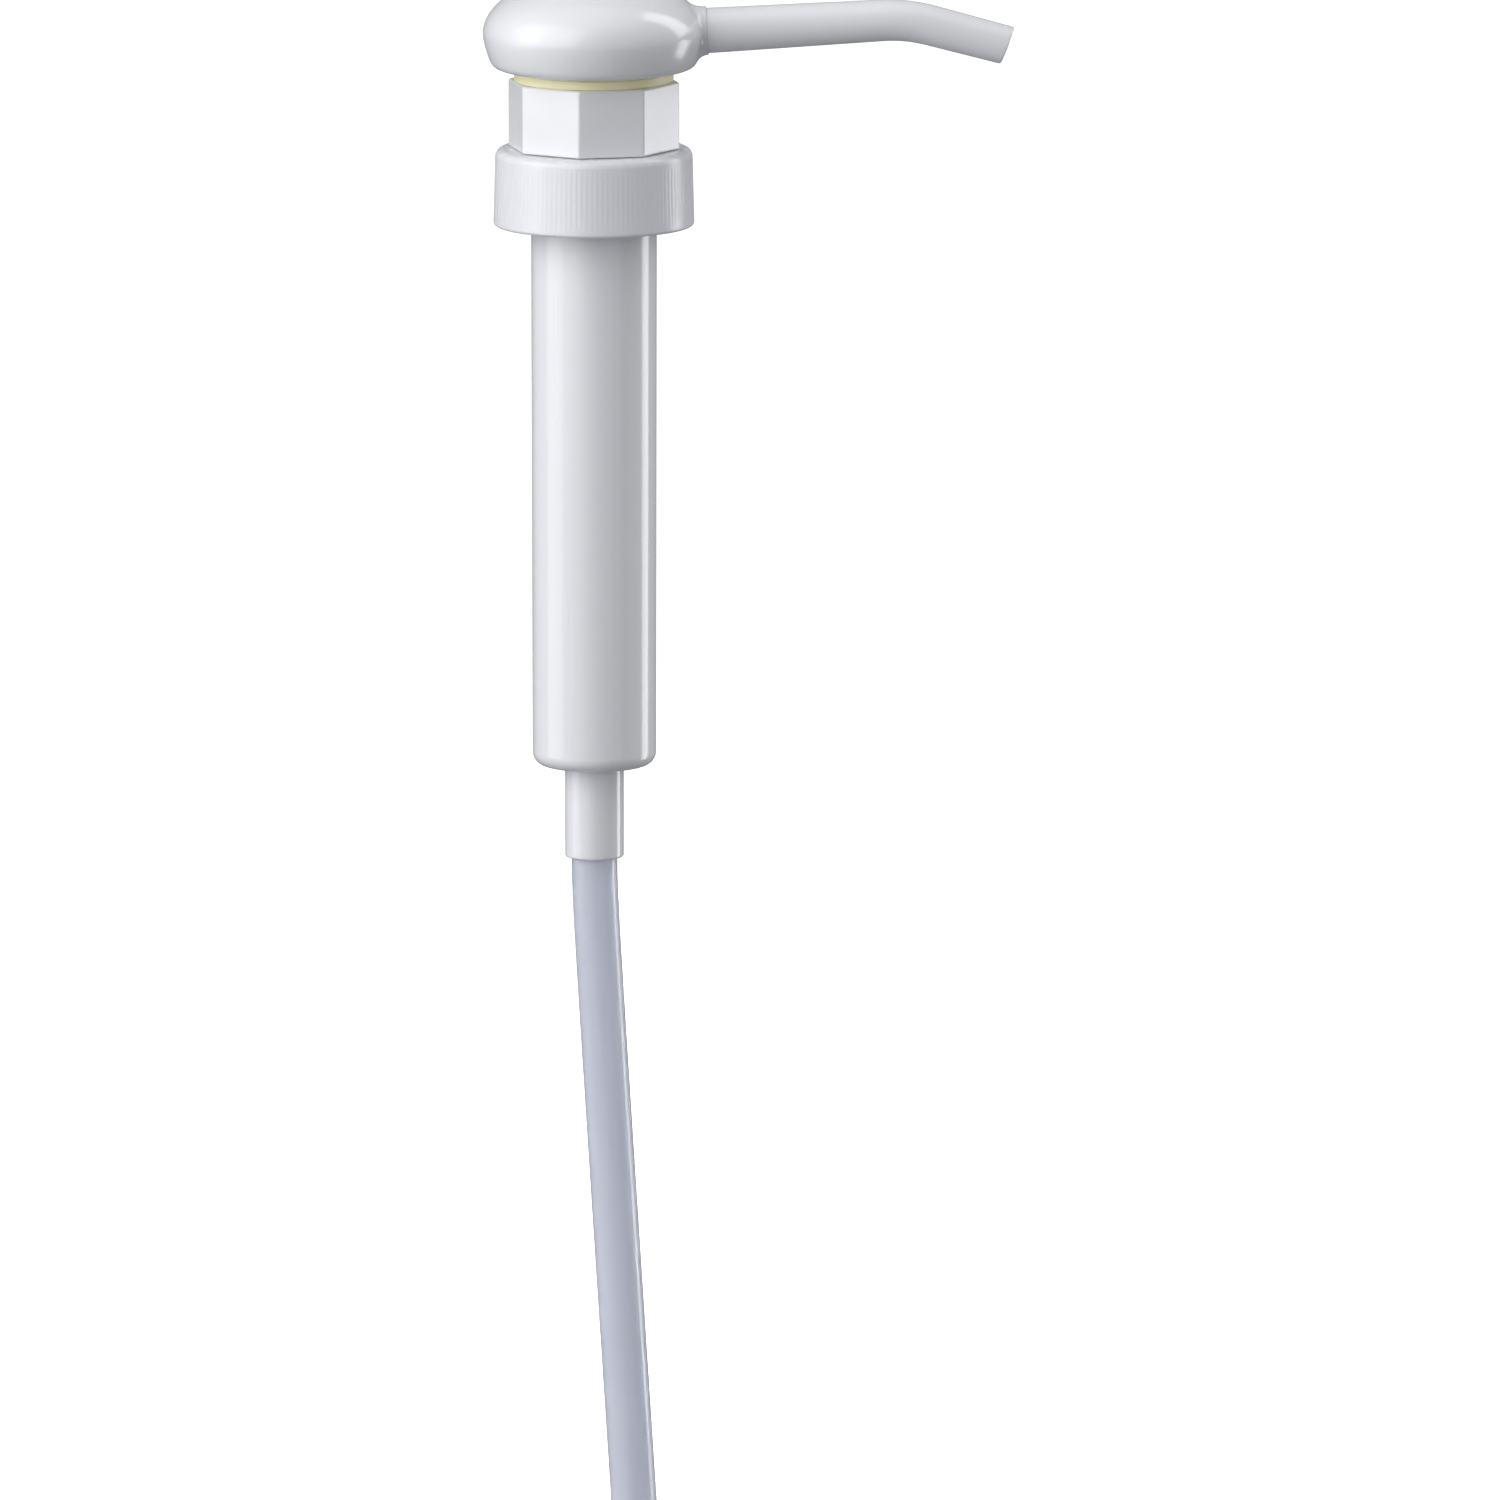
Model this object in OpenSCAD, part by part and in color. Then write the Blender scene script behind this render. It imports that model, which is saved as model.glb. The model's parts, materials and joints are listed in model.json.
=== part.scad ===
// Condiment pump for a one-gallon jug with a 38 mm screw neck.
// The origin is on the pump's axis, on the underside of the gasket, where the rim of the
// jug's neck presses. Z points up and the spout points along X. The head is drawn screwed
// down into its locked place; unscrewed, it rises by the stroke.

/* [Screw cap] */
// Diameter of the thread's crests inside the cap
neck_crest_d = 35.8; // [33:0.1:43]
// Radial depth of the thread
thread_depth = 1.15; // [0.8:0.05:1.5]
// Thread pitch, six turns to the inch
thread_pitch = 4.23; // [3:0.01:5]
// Thickness of the cap's skirt at its lower rim
cap_wall = 1.7; // [1.3:0.05:2.5]
// How much narrower the cap is at its shoulder
cap_taper = 0.42; // [0:0.02:0.8]
// Depth of the skirt below the gasket
cap_drop = 11; // [10:0.25:16]
// Thickness of the cap's top
cap_top_wall = 1.6; // [1.2:0.1:2.4]

/* [Barrel] */
// Outer diameter of the barrel
barrel_d = 26; // [22:0.25:30]
// Thickness of the barrel's wall
barrel_wall = 1.75; // [1.4:0.05:2.2]
// How much the barrel's radius shrinks towards its foot
barrel_draft = 0.22; // [0:0.02:0.3]
// Length of the barrel below the gasket, without the nipple
barrel_drop = 123.8; // [100:0.2:150]
// Radius round the barrel's lower edge
barrel_corner = 2.8; // [1:0.1:3.5]
// Thickness of the barrel's floor
floor_wall = 2.5; // [2:0.1:4]
// Thickness of the flange that the cap clamps
flange_t = 1.8; // [1.4:0.1:2.6]
// Thickness of the neck gasket
gasket_t = 1.5; // [1:0.1:2.5]
// Length of the nipple that holds the dip tube
nipple_len = 19.3; // [14:0.1:26]
// Thickness of the nipple's wall
nipple_wall = 1.32; // [1.1:0.02:2]

/* [Dip tube] */
// Outer diameter of the dip tube
tube_d = 9.5; // [7.5:0.1:11.5]
// Thickness of the dip tube's wall
tube_wall = 1.35; // [0.9:0.05:1.6]
// Length of the dip tube below the nipple
tube_drop = 153; // [100:1:200]
// Angle by which the dip tube leans
tube_lean = 3.58; // [1:0.02:6]
// Length of the dip tube below the nipple before it leans
tube_straight = 6.25; // [1:0.25:20]

/* [Lock nut] */
// Smallest thickness of the octagonal nut's wall
nut_wall = 3.53; // [2.5:0.01:5]
// Height of the nut
nut_h = 14; // [12:0.1:18]
// Turn of the octagon about the pump's axis
nut_turn = -9.6; // [-22.5:0.1:22.5]
// Height of the soft ring on the nut
ring_h = 2; // [0.8:0.05:3]

/* [Head] */
// Diameter of the dome at its widest
head_d = 45.8; // [40:0.2:55]
// Height of the dome above its widest place
dome_h = 12.2; // [9:0.1:16]
// Depth of the dome below its widest place
skirt_h = 7.55; // [7:0.05:11]
// How much the skirt draws in towards its rim
skirt_inset = 2.3; // [1:0.1:3.5]
// How much the rim's rounding takes off the radius as well
rim_round = 3; // [1:0.1:4]
// Thickness of the dome's wall
head_wall = 2; // [1.4:0.1:3]
// Number of stiffening ribs under the dome
rib_count = 8; // [4:1:12]
// How far the lock boss reaches below the dome
boss_drop = 10.2; // [7:0.1:11]

/* [Spout] */
// Outer diameter of the spout where it leaves the dome
spout_root_d = 9.4; // [8.4:0.1:11]
// Outer diameter at the bend
spout_bend_d = 8.5; // [8:0.1:9.4]
// Outer diameter at the tip
spout_tip_d = 8.1; // [7.6:0.1:8.5]
// Diameter of the passage through the spout
spout_bore_d = 6; // [5:0.1:6.6]
// Distance along the spout from the pump's axis to the bend
spout_reach = 64.5; // [52:0.1:80]
// Length of the spout from the bend to the tip
spout_tip_len = 21.5; // [14:0.1:28]
// Upward slope of the spout before the bend
spout_rise = 3.35; // [0:0.05:8]
// Downward slope of the spout past the bend
spout_droop = 14.8; // [5:0.1:25]
// Angle of the cut across the tip, from vertical
tip_cut = 21; // [10:0.5:30]

/* [Pumping parts] */
// Outer diameter of the hollow stem
stem_d = 11; // [9.5:0.1:13]
// Thickness of the stem's wall
stem_wall = 1.7; // [1.3:0.05:2]
// Length of the piston
piston_len = 17; // [15:0.5:21]
// Length of the spring while the head is locked down
spring_len = 22; // [20:0.5:30]
// Thickness of the spring's wire
wire_d = 1.4; // [1:0.05:1.6]
// Number of turns of the spring
spring_turns = 9; // [7:1:11]
// Diameter of the ball in the inlet valve
inlet_ball_d = 8; // [7.4:0.1:9]
// Diameter of the ball in the outlet valve
outlet_ball_d = 6.35; // [5.6:0.05:6.8]
// How far each ball can lift off its seat
ball_lift = 3; // [2:0.1:3.5]

/* [Fits] */
// Radial gap of a piece that slides or turns in another
running_gap = 0.05; // [0.02:0.01:0.1]
// Radial gap of a piece that is pushed home and stays
push_gap = 0.03; // [0.01:0.01:0.05]
// Gap between faces that pass each other
face_gap = 0.15; // [0.1:0.05:0.3]
// Gap round the lock boss and between the cap and the barrel
loose_gap = 0.4; // [0.3:0.05:0.6]

/* [Hidden] */
$fn = 96;
eps = 0.01;
past = 1; // how far a cutting shape runs past the face that it opens

// Radii that the driving sizes give
neck_crest_r = neck_crest_d / 2;
cap_in_r = neck_crest_r + thread_depth;
cap_out_r = cap_in_r + cap_wall;
barrel_r = barrel_d / 2;
bore_r = barrel_r - barrel_wall;
flange_r = neck_crest_r - 0.3;
gasket_r = flange_r;
tube_r = tube_d / 2;
tube_bore_r = tube_r - tube_wall;
nipple_bore_r = tube_r + push_gap;
nipple_r = nipple_bore_r + nipple_wall;
stem_r = stem_d / 2;
stem_bore_r = stem_r - stem_wall;
head_r = head_d / 2;
spout_bore_r = spout_bore_d / 2;
inlet_r = inlet_ball_d / 2;
outlet_r = outlet_ball_d / 2;

// Guide bushing, with the cup for the lock boss in its upper half
guide_wall = 1.8;
guide_r = bore_r - push_gap;
lock_cup_r = guide_r - guide_wall;
boss_r = lock_cup_r - loose_gap;

// Heights of the clamped stack on the neck
flange_z = gasket_t + flange_t;
cap_under_z = flange_z + 0.1;
cap_top_z = cap_under_z + cap_top_wall;
nut_z = cap_top_z + 0.1;
nut_top_z = nut_z + nut_h;
nut_roof = 3.8;
guide_flange = 1.5;
nut_roof_z = nut_top_z - nut_roof;
spigot_top_z = nut_roof_z - guide_flange;
guide_drop = 1.5;
bead_h = 1.6;
bead_out = 0.5;
bead_z = (nut_z + spigot_top_z) / 2;
nut_bore_r = barrel_r + push_gap;
nut_flat_r = nut_bore_r + nut_wall;
nut_corner_r = nut_flat_r / cos(22.5);
ring_z = nut_top_z;
ring_out_r = nut_flat_r - 0.1;
ring_in_r = lock_cup_r + loose_gap;

// Head, from its lower rim up
rim_z = ring_z + ring_h + face_gap;
wide_z = rim_z + skirt_h;
dome_top_z = wide_z + dome_h;
boss_z = rim_z - boss_drop;
spout_z = wide_z - 0.8;
stem_top_z = spout_z - spout_bore_r - 0.9;
hub_reach = stem_r + 1.12;
collar_r = spout_root_d / 2 + 2;

// Barrel's inside, from its floor up
floor_z = -barrel_drop + floor_wall;
seat_slope = 0.56; // radius gained for each unit of height on both valve seats
valve_seat_h = 2;
inlet_hole_r = inlet_r * 0.8;
tube_stop_z = -barrel_drop - 4;
nipple_z = -barrel_drop - nipple_len;

// A ball on a conical seat whose narrow end, of radius r, is at z. The answer is the
// height of the ball's centre, with a hair of room so that the surfaces don't cut.
seat_angle = atan(seat_slope);
function rest_on_cone(ball, r, z) =
    z + (ball * cos(seat_angle) - r) / seat_slope + ball * sin(seat_angle) + 0.03;

inlet_seat_z = floor_z - floor_wall + 0.3;
inlet_z = rest_on_cone(inlet_r, inlet_hole_r, inlet_seat_z);
cage_bore_r = inlet_r + 0.9;
cage_r = cage_bore_r + 1.4;
cage_roof_z = inlet_z + inlet_r + ball_lift + 0.05;
cage_roof = 1.5;
cage_hole_r = inlet_r - 1.8;
seat_flange = 2;
spring_z = floor_z + seat_flange;
spring_r = cage_r + 0.8 + wire_d / 2;

// Piston
piston_z = spring_z + spring_len;
piston_top_z = piston_z + piston_len;
core_r = bore_r - 2.6;
piston_flange = 1.6;
piston_rim = 1.4;
outlet_hole_r = outlet_r * 0.74;
outlet_seat_z = piston_z + 1;
outlet_z = rest_on_cone(outlet_r, outlet_hole_r, outlet_seat_z);
chamber_r = outlet_r + 0.85;
stem_foot_z = outlet_z + outlet_r + ball_lift + 0.05;
socket_r = stem_r + running_gap;
stop_w = 1.2;

// Points along an arc round (x, y)
function arc(x, y, r, from, to, n = 12) =
    [for (i = [0:n]) let (a = from + (to - from) * i / n) [x + r * cos(a), y + r * sin(a)]];

// A ring with a square section, between two radii
module ring(inner, outer, z, h) {
    translate([0, 0, z]) difference() {
        cylinder(r = outer, h = h);
        translate([0, 0, -past]) cylinder(r = inner, h = h + 2 * past);
    }
}

// A round bar that starts at the origin along Z, turns towards X at the end of its first
// run and goes on for a second. Each length stops short of the corner, where it would cut
// the other, and a ball just large enough to cover both ends joins them.
module elbow_bar(run, angle, next, r_start, r_corner, r_end) {
    short = r_corner * tan(angle / 2) + 0.1;
    ball_r = norm([r_corner, short]) + 0.03;
    cylinder(h = run - short, r1 = r_start, r2 = r_corner);
    translate([0, 0, run]) {
        sphere(r = ball_r);
        rotate([0, angle, 0]) translate([0, 0, short])
            cylinder(h = next - short, r1 = r_corner, r2 = r_end);
    }
}

// ---- Screw cap ----

thread_arc = 52; // each piece of the interrupted thread, one every sixth of a turn
thread_count = 7;
thread_top_z = -3.4;
thread_slope = atan(thread_pitch / (2 * PI * neck_crest_r));

// One piece of thread, tilted to follow the helix where it stands
module thread_piece() {
    rotate([thread_slope, 0, 0]) rotate([0, 0, -thread_arc / 2])
        rotate_extrude(angle = thread_arc) polygon([
            [cap_in_r + 0.5, -1.35], [cap_in_r, -1.05], [neck_crest_r, -0.4],
            [neck_crest_r, 0.4], [cap_in_r, 1.05], [cap_in_r + 0.5, 1.35]
        ]);
}

module screw_cap() {
    color("white") {
        difference() {
            rotate_extrude() polygon(concat(
                [[0, -cap_drop], [cap_out_r - 1, -cap_drop]],
                arc(cap_out_r - 1, -cap_drop + 1, 1, -90, 0, 6),
                arc(cap_out_r - cap_taper - 1.6, cap_top_z - 1.6, 1.6, 0, 90, 8),
                [[0, cap_top_z]]
            ));
            translate([0, 0, -cap_drop - past])
                cylinder(r = cap_in_r, h = cap_drop + past + cap_under_z);
            cylinder(r = barrel_r + loose_gap, h = cap_top_z + past);
        }
        for (i = [0:thread_count - 1])
            translate([0, 0, thread_top_z - i * thread_pitch / 6])
                rotate([0, 0, -60 * i]) thread_piece();
    }
}

module neck_gasket() {
    color("whitesmoke") ring(barrel_r + push_gap, gasket_r, 0, gasket_t);
}

// ---- Barrel with its flange, spigot and nipple ----

vent_r = 0.75;
vent_z = -3.5;
vent_turn = 135;

module barrel() {
    foot_r = barrel_r - barrel_draft;
    color("white") difference() {
        rotate_extrude() polygon(concat(
            [[0, nipple_z], [nipple_r - 0.5, nipple_z], [nipple_r, nipple_z + 0.5]],
            [[nipple_r, -barrel_drop]],
            arc(foot_r - barrel_corner, -barrel_drop + barrel_corner, barrel_corner, -90, 0),
            [[barrel_r, 0], [barrel_r, gasket_t], [flange_r, gasket_t], [flange_r, flange_z]],
            [[barrel_r, flange_z], [barrel_r, bead_z - bead_h / 2]],
            [[barrel_r + bead_out, bead_z], [barrel_r, bead_z + bead_h / 2]],
            [[barrel_r, spigot_top_z], [0, spigot_top_z]]
        ));
        translate([0, 0, floor_z]) cylinder(r = bore_r, h = spigot_top_z - floor_z + past);
        translate([0, 0, inlet_seat_z])
            cylinder(
                r1 = inlet_hole_r,
                r2 = inlet_hole_r + (floor_z - inlet_seat_z + eps) * seat_slope,
                h = floor_z - inlet_seat_z + eps
            );
        translate([0, 0, tube_stop_z - past])
            cylinder(r = inlet_hole_r, h = inlet_seat_z - tube_stop_z + past + eps);
        translate([0, 0, nipple_z - past])
            cylinder(r = nipple_bore_r, h = tube_stop_z - nipple_z + past);
        translate([0, 0, vent_z]) rotate([0, 90, vent_turn])
            cylinder(r = vent_r, h = barrel_r + past, $fn = 32);
    }
}

// ---- Collar: nut, ring, guide and wiper ----

module lock_nut() {
    color("white") difference() {
        rotate([0, 0, nut_turn]) translate([0, 0, nut_z])
            cylinder(r = nut_corner_r, h = nut_h, $fn = 8);
        rotate_extrude() polygon([
            [0, nut_z - past], [nut_bore_r, nut_z - past],
            [nut_bore_r, bead_z - bead_h / 2 - push_gap],
            [nut_bore_r + bead_out, bead_z],
            [nut_bore_r, bead_z + bead_h / 2 + push_gap],
            [nut_bore_r, nut_roof_z], [0, nut_roof_z]
        ]);
        cylinder(r = lock_cup_r, h = nut_top_z + past);
    }
}

module seal_ring() {
    color("palegoldenrod") ring(ring_in_r, ring_out_r, ring_z, ring_h);
}

wiper_h = 2.2;
wiper_depth = 1.8;
wiper_land = 1;
guide_floor_z = boss_z - loose_gap;

module stem_guide() {
    color("ivory") difference() {
        union() {
            translate([0, 0, -guide_drop]) cylinder(r = guide_r, h = spigot_top_z + guide_drop);
            translate([0, 0, spigot_top_z]) cylinder(r = barrel_r - 0.3, h = guide_flange);
        }
        translate([0, 0, guide_floor_z])
            cylinder(r = lock_cup_r, h = nut_roof_z - guide_floor_z + past);
        translate([0, 0, -guide_drop - past])
            cylinder(r = stem_r + running_gap, h = guide_floor_z + guide_drop + 2 * past);
        translate([0, 0, -guide_drop + wiper_land])
            cylinder(r = stem_r + wiper_depth, h = wiper_h);
    }
}

module stem_wiper() {
    low = -guide_drop + wiper_land + push_gap;
    high = low + wiper_h - 2 * push_gap;
    out = stem_r + wiper_depth - push_gap;
    color("dimgray") rotate_extrude() polygon([
        [out, low], [out, high], [stem_r + 0.6, high], [stem_r + running_gap, high - 0.5],
        [stem_r + running_gap, high - 0.8], [stem_r + 0.6, (low + high) / 2],
        [stem_r + running_gap, low + 0.8], [stem_r + running_gap, low + 0.5],
        [stem_r + 0.6, low]
    ]);
}

// ---- Inlet valve and spring ----

module spring_seat() {
    window_z = spring_z + 0.6;
    color("white") difference() {
        union() {
            translate([0, 0, floor_z]) cylinder(r = bore_r - push_gap, h = seat_flange);
            translate([0, 0, floor_z]) cylinder(r = cage_r, h = cage_roof_z + cage_roof - floor_z);
        }
        translate([0, 0, floor_z - past]) cylinder(r = cage_bore_r, h = cage_roof_z - floor_z + past);
        translate([0, 0, cage_roof_z - past])
            cylinder(r = cage_hole_r, h = cage_roof + 2 * past);
        for (turn = [0, 90]) rotate([0, 0, turn])
            translate([-cage_r - past, -1.6, window_z])
                cube([2 * (cage_r + past), 3.2, cage_roof_z - window_z - 0.6]);
    }
}

// The spring is drawn as one ring for each turn, joined by a short upright link, because
// it stands for a coil that changes its length.
module spring() {
    turn_gap = (spring_len - wire_d - 2 * eps) / (spring_turns - 1);
    color("silver") for (i = [0:spring_turns - 1]) {
        low = spring_z + eps + wire_d / 2 + i * turn_gap;
        translate([0, 0, low]) rotate_extrude() translate([spring_r, 0]) circle(r = wire_d / 2);
        if (i < spring_turns - 1)
            rotate([0, 0, 180 * i]) translate([spring_r, 0, low])
                cylinder(r = wire_d / 2 - 0.1, h = turn_gap, $fn = 24);
    }
}

module inlet_ball() {
    color("gainsboro") translate([0, 0, inlet_z]) sphere(r = inlet_r);
}

// ---- Piston and outlet valve ----

module piston() {
    color("white") difference() {
        union() {
            translate([0, 0, piston_z]) cylinder(r = core_r, h = piston_len);
            translate([0, 0, piston_z]) cylinder(r = bore_r - 0.6, h = piston_flange);
            translate([0, 0, piston_top_z - piston_rim])
                cylinder(r1 = core_r + 0.8, r2 = core_r + 0.2, h = piston_rim);
        }
        translate([0, 0, piston_z - past]) cylinder(r = outlet_hole_r, h = 1 + past + eps);
        translate([0, 0, outlet_seat_z])
            cylinder(r1 = outlet_hole_r, r2 = outlet_hole_r + valve_seat_h * seat_slope, h = valve_seat_h);
        translate([0, 0, outlet_seat_z + valve_seat_h - eps])
            cylinder(r = chamber_r, h = stem_foot_z - outlet_seat_z - valve_seat_h + 2 * eps);
        translate([0, 0, stem_foot_z - face_gap])
            cylinder(r = socket_r, h = piston_top_z - stem_foot_z + face_gap + past);
    }
}

// The cup has a lip at each end that wipes the barrel, with a groove behind each lip
module piston_cup() {
    low = piston_z + piston_flange + push_gap;
    high = piston_top_z - piston_rim - push_gap;
    inner = core_r + push_gap;
    lip = bore_r - running_gap;
    back = bore_r - 0.5;
    color("ivory") rotate_extrude() polygon([
        [inner, low], [inner + 0.9, low], [inner + 1.1, low + 1.8], [lip - 0.5, low],
        [lip, low], [lip, low + 0.8], [back, low + 3], [back, high - 3], [lip, high - 0.8],
        [lip, high], [lip - 0.5, high], [inner + 1.1, high - 1.8], [inner + 0.9, high],
        [inner, high]
    ]);
}

module outlet_ball() {
    color("gainsboro") translate([0, 0, outlet_z]) sphere(r = outlet_r);
}

// A bar across the stem's lower end keeps the ball out of the stem
module stem() {
    color("white") {
        ring(stem_bore_r, stem_r, stem_foot_z, stem_top_z - stem_foot_z);
        translate([-stem_bore_r - 0.3, -stop_w / 2, stem_foot_z])
            cube([2 * (stem_bore_r + 0.3), stop_w, 2]);
    }
}

// ---- Head and spout ----

spout_turn = spout_rise + spout_droop;
plug_end = head_r + 0.4; // end of the stretch of spout that the head holds

// Places its children on the spout's line, with their Z along the spout
module along_spout() {
    translate([0, 0, spout_z]) rotate([0, 90 - spout_rise, 0]) children();
}

// Radius of the skirt at a share of its depth, from 0 at the widest place to 1 at the rim
function skirt_r(share) = head_r - skirt_inset * pow(share, 1.55) - rim_round * pow(share, 18);

cavity_r = skirt_r(1) - 1.3; // straight, so that the moulding leaves its core

// Points over the dome, moved in by a wall, from an angle above the widest place to the pole
function dome_arc(wall, from) = concat(
    [for (a = [from:6:84]) [(head_r - wall) * cos(a), wide_z + (dome_h - wall) * sin(a)]],
    [[0, wide_z + dome_h - wall]]
);

module dome_outline() {
    skirt = [for (i = [0:14]) let (share = 1 - pow(i / 14, 2))
        [skirt_r(share), wide_z - share * skirt_h]];
    polygon(concat([[0, rim_z]], skirt, dome_arc(0, 6)));
}

module cavity_outline() {
    roof_angle = acos((cavity_r - 0.4) / (head_r - head_wall));
    polygon(concat(
        [[0, rim_z - past], [cavity_r, rim_z - past], [cavity_r, rim_z]],
        dome_arc(head_wall, roof_angle)
    ));
}

module head() {
    rib_w = 1.4;
    flare_len = 7.4;
    color("white") difference() {
        union() {
            difference() {
                rotate_extrude() dome_outline();
                rotate_extrude() cavity_outline();
            }
            intersection() {
                rotate_extrude() dome_outline();
                union() {
                    translate([0, 0, rim_z]) cylinder(r = boss_r, h = dome_top_z - rim_z);
                    for (i = [0:rib_count - 1]) rotate([0, 0, (i + 0.5) * 360 / rib_count])
                        translate([0, -rib_w / 2, rim_z])
                            cube([cavity_r + 0.5, rib_w, dome_top_z - rim_z]);
                    along_spout() cylinder(r = collar_r, h = head_r);
                }
            }
            translate([0, 0, boss_z]) cylinder(r = boss_r, h = rim_z - boss_z + eps);
            along_spout() translate([0, 0, plug_end - flare_len])
                cylinder(r1 = collar_r + 0.7, r2 = spout_root_d / 2 + 0.5, h = flare_len);
        }
        translate([0, 0, boss_z - past])
            cylinder(r = stem_r + push_gap, h = stem_top_z - boss_z + past);
        cylinder(r = stem_bore_r, h = spout_z);
        along_spout() cylinder(r = spout_bore_r, h = hub_reach + past);
        along_spout() translate([0, 0, hub_reach])
            cylinder(r = spout_root_d / 2 + push_gap, h = head_r);
    }
}

module spout() {
    root_r = spout_root_d / 2;
    color("white") difference() {
        along_spout() {
            translate([0, 0, hub_reach + push_gap])
                cylinder(r = root_r, h = plug_end - hub_reach - push_gap);
            translate([0, 0, plug_end - eps]) elbow_bar(
                spout_reach - plug_end + eps, spout_turn, spout_tip_len + 2,
                root_r, spout_bend_d / 2, spout_tip_d / 2
            );
        }
        along_spout() translate([0, 0, hub_reach - past]) elbow_bar(
            spout_reach - hub_reach + past, spout_turn, spout_tip_len + 4,
            spout_bore_r, spout_bore_r, spout_bore_r
        );
        along_spout() translate([0, 0, spout_reach]) rotate([0, spout_turn, 0])
            translate([0, 0, spout_tip_len]) rotate([0, tip_cut - spout_droop, 0])
                translate([-15, -15, 0]) cube([30, 30, 8]);
    }
}

// ---- Dip tube ----

// A bar along the dip tube's whole way, from its stop in the nipple
module tube_bar(r, extra) {
    translate([0, 0, tube_stop_z + extra]) rotate([180, 0, 0]) elbow_bar(
        tube_stop_z - nipple_z + tube_straight + extra, tube_lean,
        (tube_drop - tube_straight) / cos(tube_lean) + extra, r, r, r
    );
}

module dip_tube() {
    color("lavender") difference() {
        tube_bar(tube_r, 0);
        tube_bar(tube_bore_r, past);
    }
}

screw_cap();
neck_gasket();
barrel();
lock_nut();
seal_ring();
stem_guide();
stem_wiper();
spring_seat();
spring();
dip_tube();
inlet_ball();
piston();
piston_cup();
outlet_ball();
stem();
head();
spout();
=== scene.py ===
# %% [markdown]
# # A condiment pump, as moulded plastic
# The pump stands on a jug's neck: a domed head drives a hollow stem, a piston and a
# spring inside a white barrel, and a clear tube reaches the bottom of the jug. The
# engineering model already gives every piece its place. Here each piece gets the shape
# and the skin of the real moulding: rounded corners, threads, ribs and gloss. The pump's
# lengths are millimetres until a mesh is made, because that is how such a pump is drawn;
# the meshes, the floor, the camera and the lights are in metres.

# %% Load the engineering model
import json
import math

import bmesh
import bpy
import numpy as np
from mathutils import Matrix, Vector


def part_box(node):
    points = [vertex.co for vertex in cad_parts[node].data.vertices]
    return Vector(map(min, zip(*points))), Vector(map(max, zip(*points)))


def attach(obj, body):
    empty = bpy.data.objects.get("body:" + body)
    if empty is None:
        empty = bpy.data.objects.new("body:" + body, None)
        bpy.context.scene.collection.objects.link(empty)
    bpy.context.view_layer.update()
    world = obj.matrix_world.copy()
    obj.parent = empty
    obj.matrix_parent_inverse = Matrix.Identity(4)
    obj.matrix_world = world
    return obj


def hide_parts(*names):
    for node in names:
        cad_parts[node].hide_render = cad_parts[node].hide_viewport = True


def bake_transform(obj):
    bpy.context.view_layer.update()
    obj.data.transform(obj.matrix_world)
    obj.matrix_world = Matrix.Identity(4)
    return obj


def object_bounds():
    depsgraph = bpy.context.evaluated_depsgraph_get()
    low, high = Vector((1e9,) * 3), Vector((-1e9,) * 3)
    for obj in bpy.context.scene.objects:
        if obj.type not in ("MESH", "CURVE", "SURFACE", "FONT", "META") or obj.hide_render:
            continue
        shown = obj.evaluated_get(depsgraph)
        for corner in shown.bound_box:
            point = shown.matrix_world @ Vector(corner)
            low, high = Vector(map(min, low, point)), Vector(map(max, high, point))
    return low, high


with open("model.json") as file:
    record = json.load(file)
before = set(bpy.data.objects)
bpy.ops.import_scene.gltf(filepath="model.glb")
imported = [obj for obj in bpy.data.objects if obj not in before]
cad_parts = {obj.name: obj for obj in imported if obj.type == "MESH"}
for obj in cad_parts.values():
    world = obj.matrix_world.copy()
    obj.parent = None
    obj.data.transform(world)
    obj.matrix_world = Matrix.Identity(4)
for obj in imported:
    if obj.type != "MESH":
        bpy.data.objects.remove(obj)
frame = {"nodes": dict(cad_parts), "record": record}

MM = 0.001
TURN = 2 * math.pi
cad_low, cad_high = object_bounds()
print("nodes:", sorted(frame["nodes"]))
print("size in mm:", [round(v / MM, 1) for v in cad_high - cad_low])


def box_mm(node):
    """The lowest and highest corner of a CAD node, in millimetres."""
    low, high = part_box(node)
    return np.array(low) / MM, np.array(high) / MM


# %% [markdown]
# ## Surfaces from grids
# A moulded piece is a closed skin. The simplest way to describe one is a grid of points:
# rows run along the outline of the piece, columns run round it, and every four
# neighbours make a face. The grid closes on itself round the piece, and along the outline
# too where the piece is a ring. Working with whole numpy arrays keeps the formula in view,
# and the sign of the enclosed volume says whether the faces look outwards.

# %% A grid becomes a closed skin
def skin(points, ring=True):
    """Faces between neighbours of a (rows, columns, 3) grid, turned to enclose a positive volume."""
    rows, columns = points.shape[:2]
    i, j = np.meshgrid(np.arange(rows if ring else rows - 1), np.arange(columns), indexing="ij")
    i2, j2 = (i + 1) % rows, (j + 1) % columns
    faces = np.stack([i * columns + j, i * columns + j2, i2 * columns + j2, i2 * columns + j], -1)
    faces = faces.reshape(-1, 4)
    flat = points.reshape(-1, 3)
    a, b, c, d = (flat[faces[:, k]] for k in range(4))
    volume = (np.cross(a, b) * c).sum() + (np.cross(a, c) * d).sum()
    return flat, faces[:, ::-1] if volume < 0 else faces


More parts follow.
